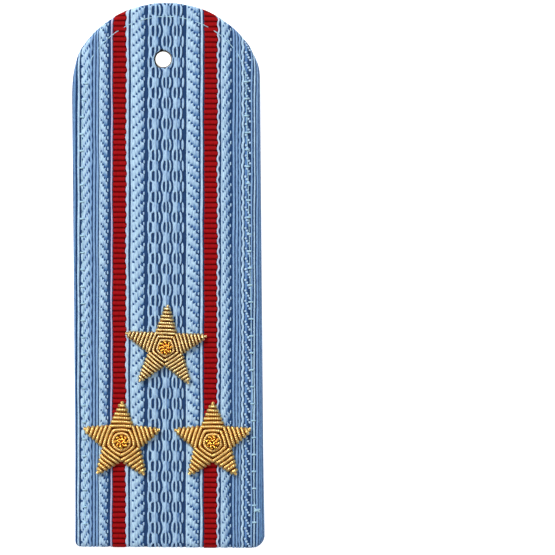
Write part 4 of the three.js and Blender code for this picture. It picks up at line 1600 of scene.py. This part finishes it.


def fibre_board():
    """Grey-beige fibres, with a painted shadow on the card round the button hole, deepest on its upper
    left.
    """
    material, tree = new_material("fibre_board_grey_beige")
    place = add(tree, "ShaderNodeTexCoord").outputs["Object"]
    fibres = add(tree, "ShaderNodeTexNoise", {"Vector": place, "Scale": per(1.111), "Detail": 6.0})
    blotches = add(tree, "ShaderNodeTexNoise", {"Vector": place, "Scale": per(11.11), "Detail": 2.0})
    tone = add(tree, MATH, [fibres, blotches], operation="MULTIPLY")
    share = add(tree, "ShaderNodeMapRange", {"Value": tone, "From Min": 0.12, "From Max": 0.4})
    colour = add(tree, "ShaderNodeMix", {
        "Factor": share, COLOUR_A: linear("#8d8678"), COLOUR_B: linear("#b5ad9e"),
    }, data_type="RGBA")
    unshaded_middle = (HOLE + UNSHADED_ASIDE) * MM
    away = add(tree, "ShaderNodeVectorMath", [place, (unshaded_middle[0], unshaded_middle[1], 0)], operation="SUBTRACT")
    flattened = add(tree, "ShaderNodeVectorMath", [away, (1, 1, 0)], operation="MULTIPLY")
    distance = add(tree, "ShaderNodeVectorMath", [flattened], operation="LENGTH").outputs["Value"]
    near = add(tree, "ShaderNodeMapRange", {
        "Value": distance, "From Min": 2.1 * MM, "From Max": 2.55 * MM,
    })
    height = add(tree, "ShaderNodeSeparateXYZ", [place]).outputs["Z"]
    upper = add(tree, "ShaderNodeMapRange", {"Value": height, "From Min": 1.6 * MM, "From Max": 2.2 * MM})
    # Painted shadow: the card's upper part turns near-black further than 2.1 mm from the unshaded middle,
    # which in the hole darkens its upper left.
    painted_shadow = add(tree, MATH, [near, upper], operation="MULTIPLY")
    colour = add(tree, "ShaderNodeMix", {
        "Factor": painted_shadow, COLOUR_A: colour.outputs[2], COLOUR_B: linear("#1c1814"),
    }, data_type="RGBA")
    bump = add(tree, "ShaderNodeBump", {"Height": fibres, "Strength": 0.4, "Distance": 0.1 * MM})
    shader = add(tree, "ShaderNodeBsdfPrincipled", {
        "Base Color": colour.outputs[2], "Normal": bump, "Roughness": 0.9, "Specular IOR Level": 0.2,
    })
    add(tree, "ShaderNodeOutputMaterial", {"Surface": shader})
    return material


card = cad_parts["stiffener"]
card.data.materials.clear()
card.data.materials.append(fibre_board())

# %% Declare and finish
for piece in (ground, chain_cords, pale_cords, mid_cords, rose_cords, selvedge_cords, white_cords,
              backing_weft, pit_weft, *twills, *seams):
    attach(piece, "root")
for piece, node in zip(stripes, ("red_stripe_left", "red_stripe_right")):
    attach(piece, "root")
    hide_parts(node)
for star in stars:
    for piece in (star["wires"], star["pad"]):
        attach(piece, "root")
    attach(star["chips"], "root")
    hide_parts(star["name"])
    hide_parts(star["name"] + "_chips")
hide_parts("galloon")

cut = outline(EDGE_ROUND - WAYS[-1])
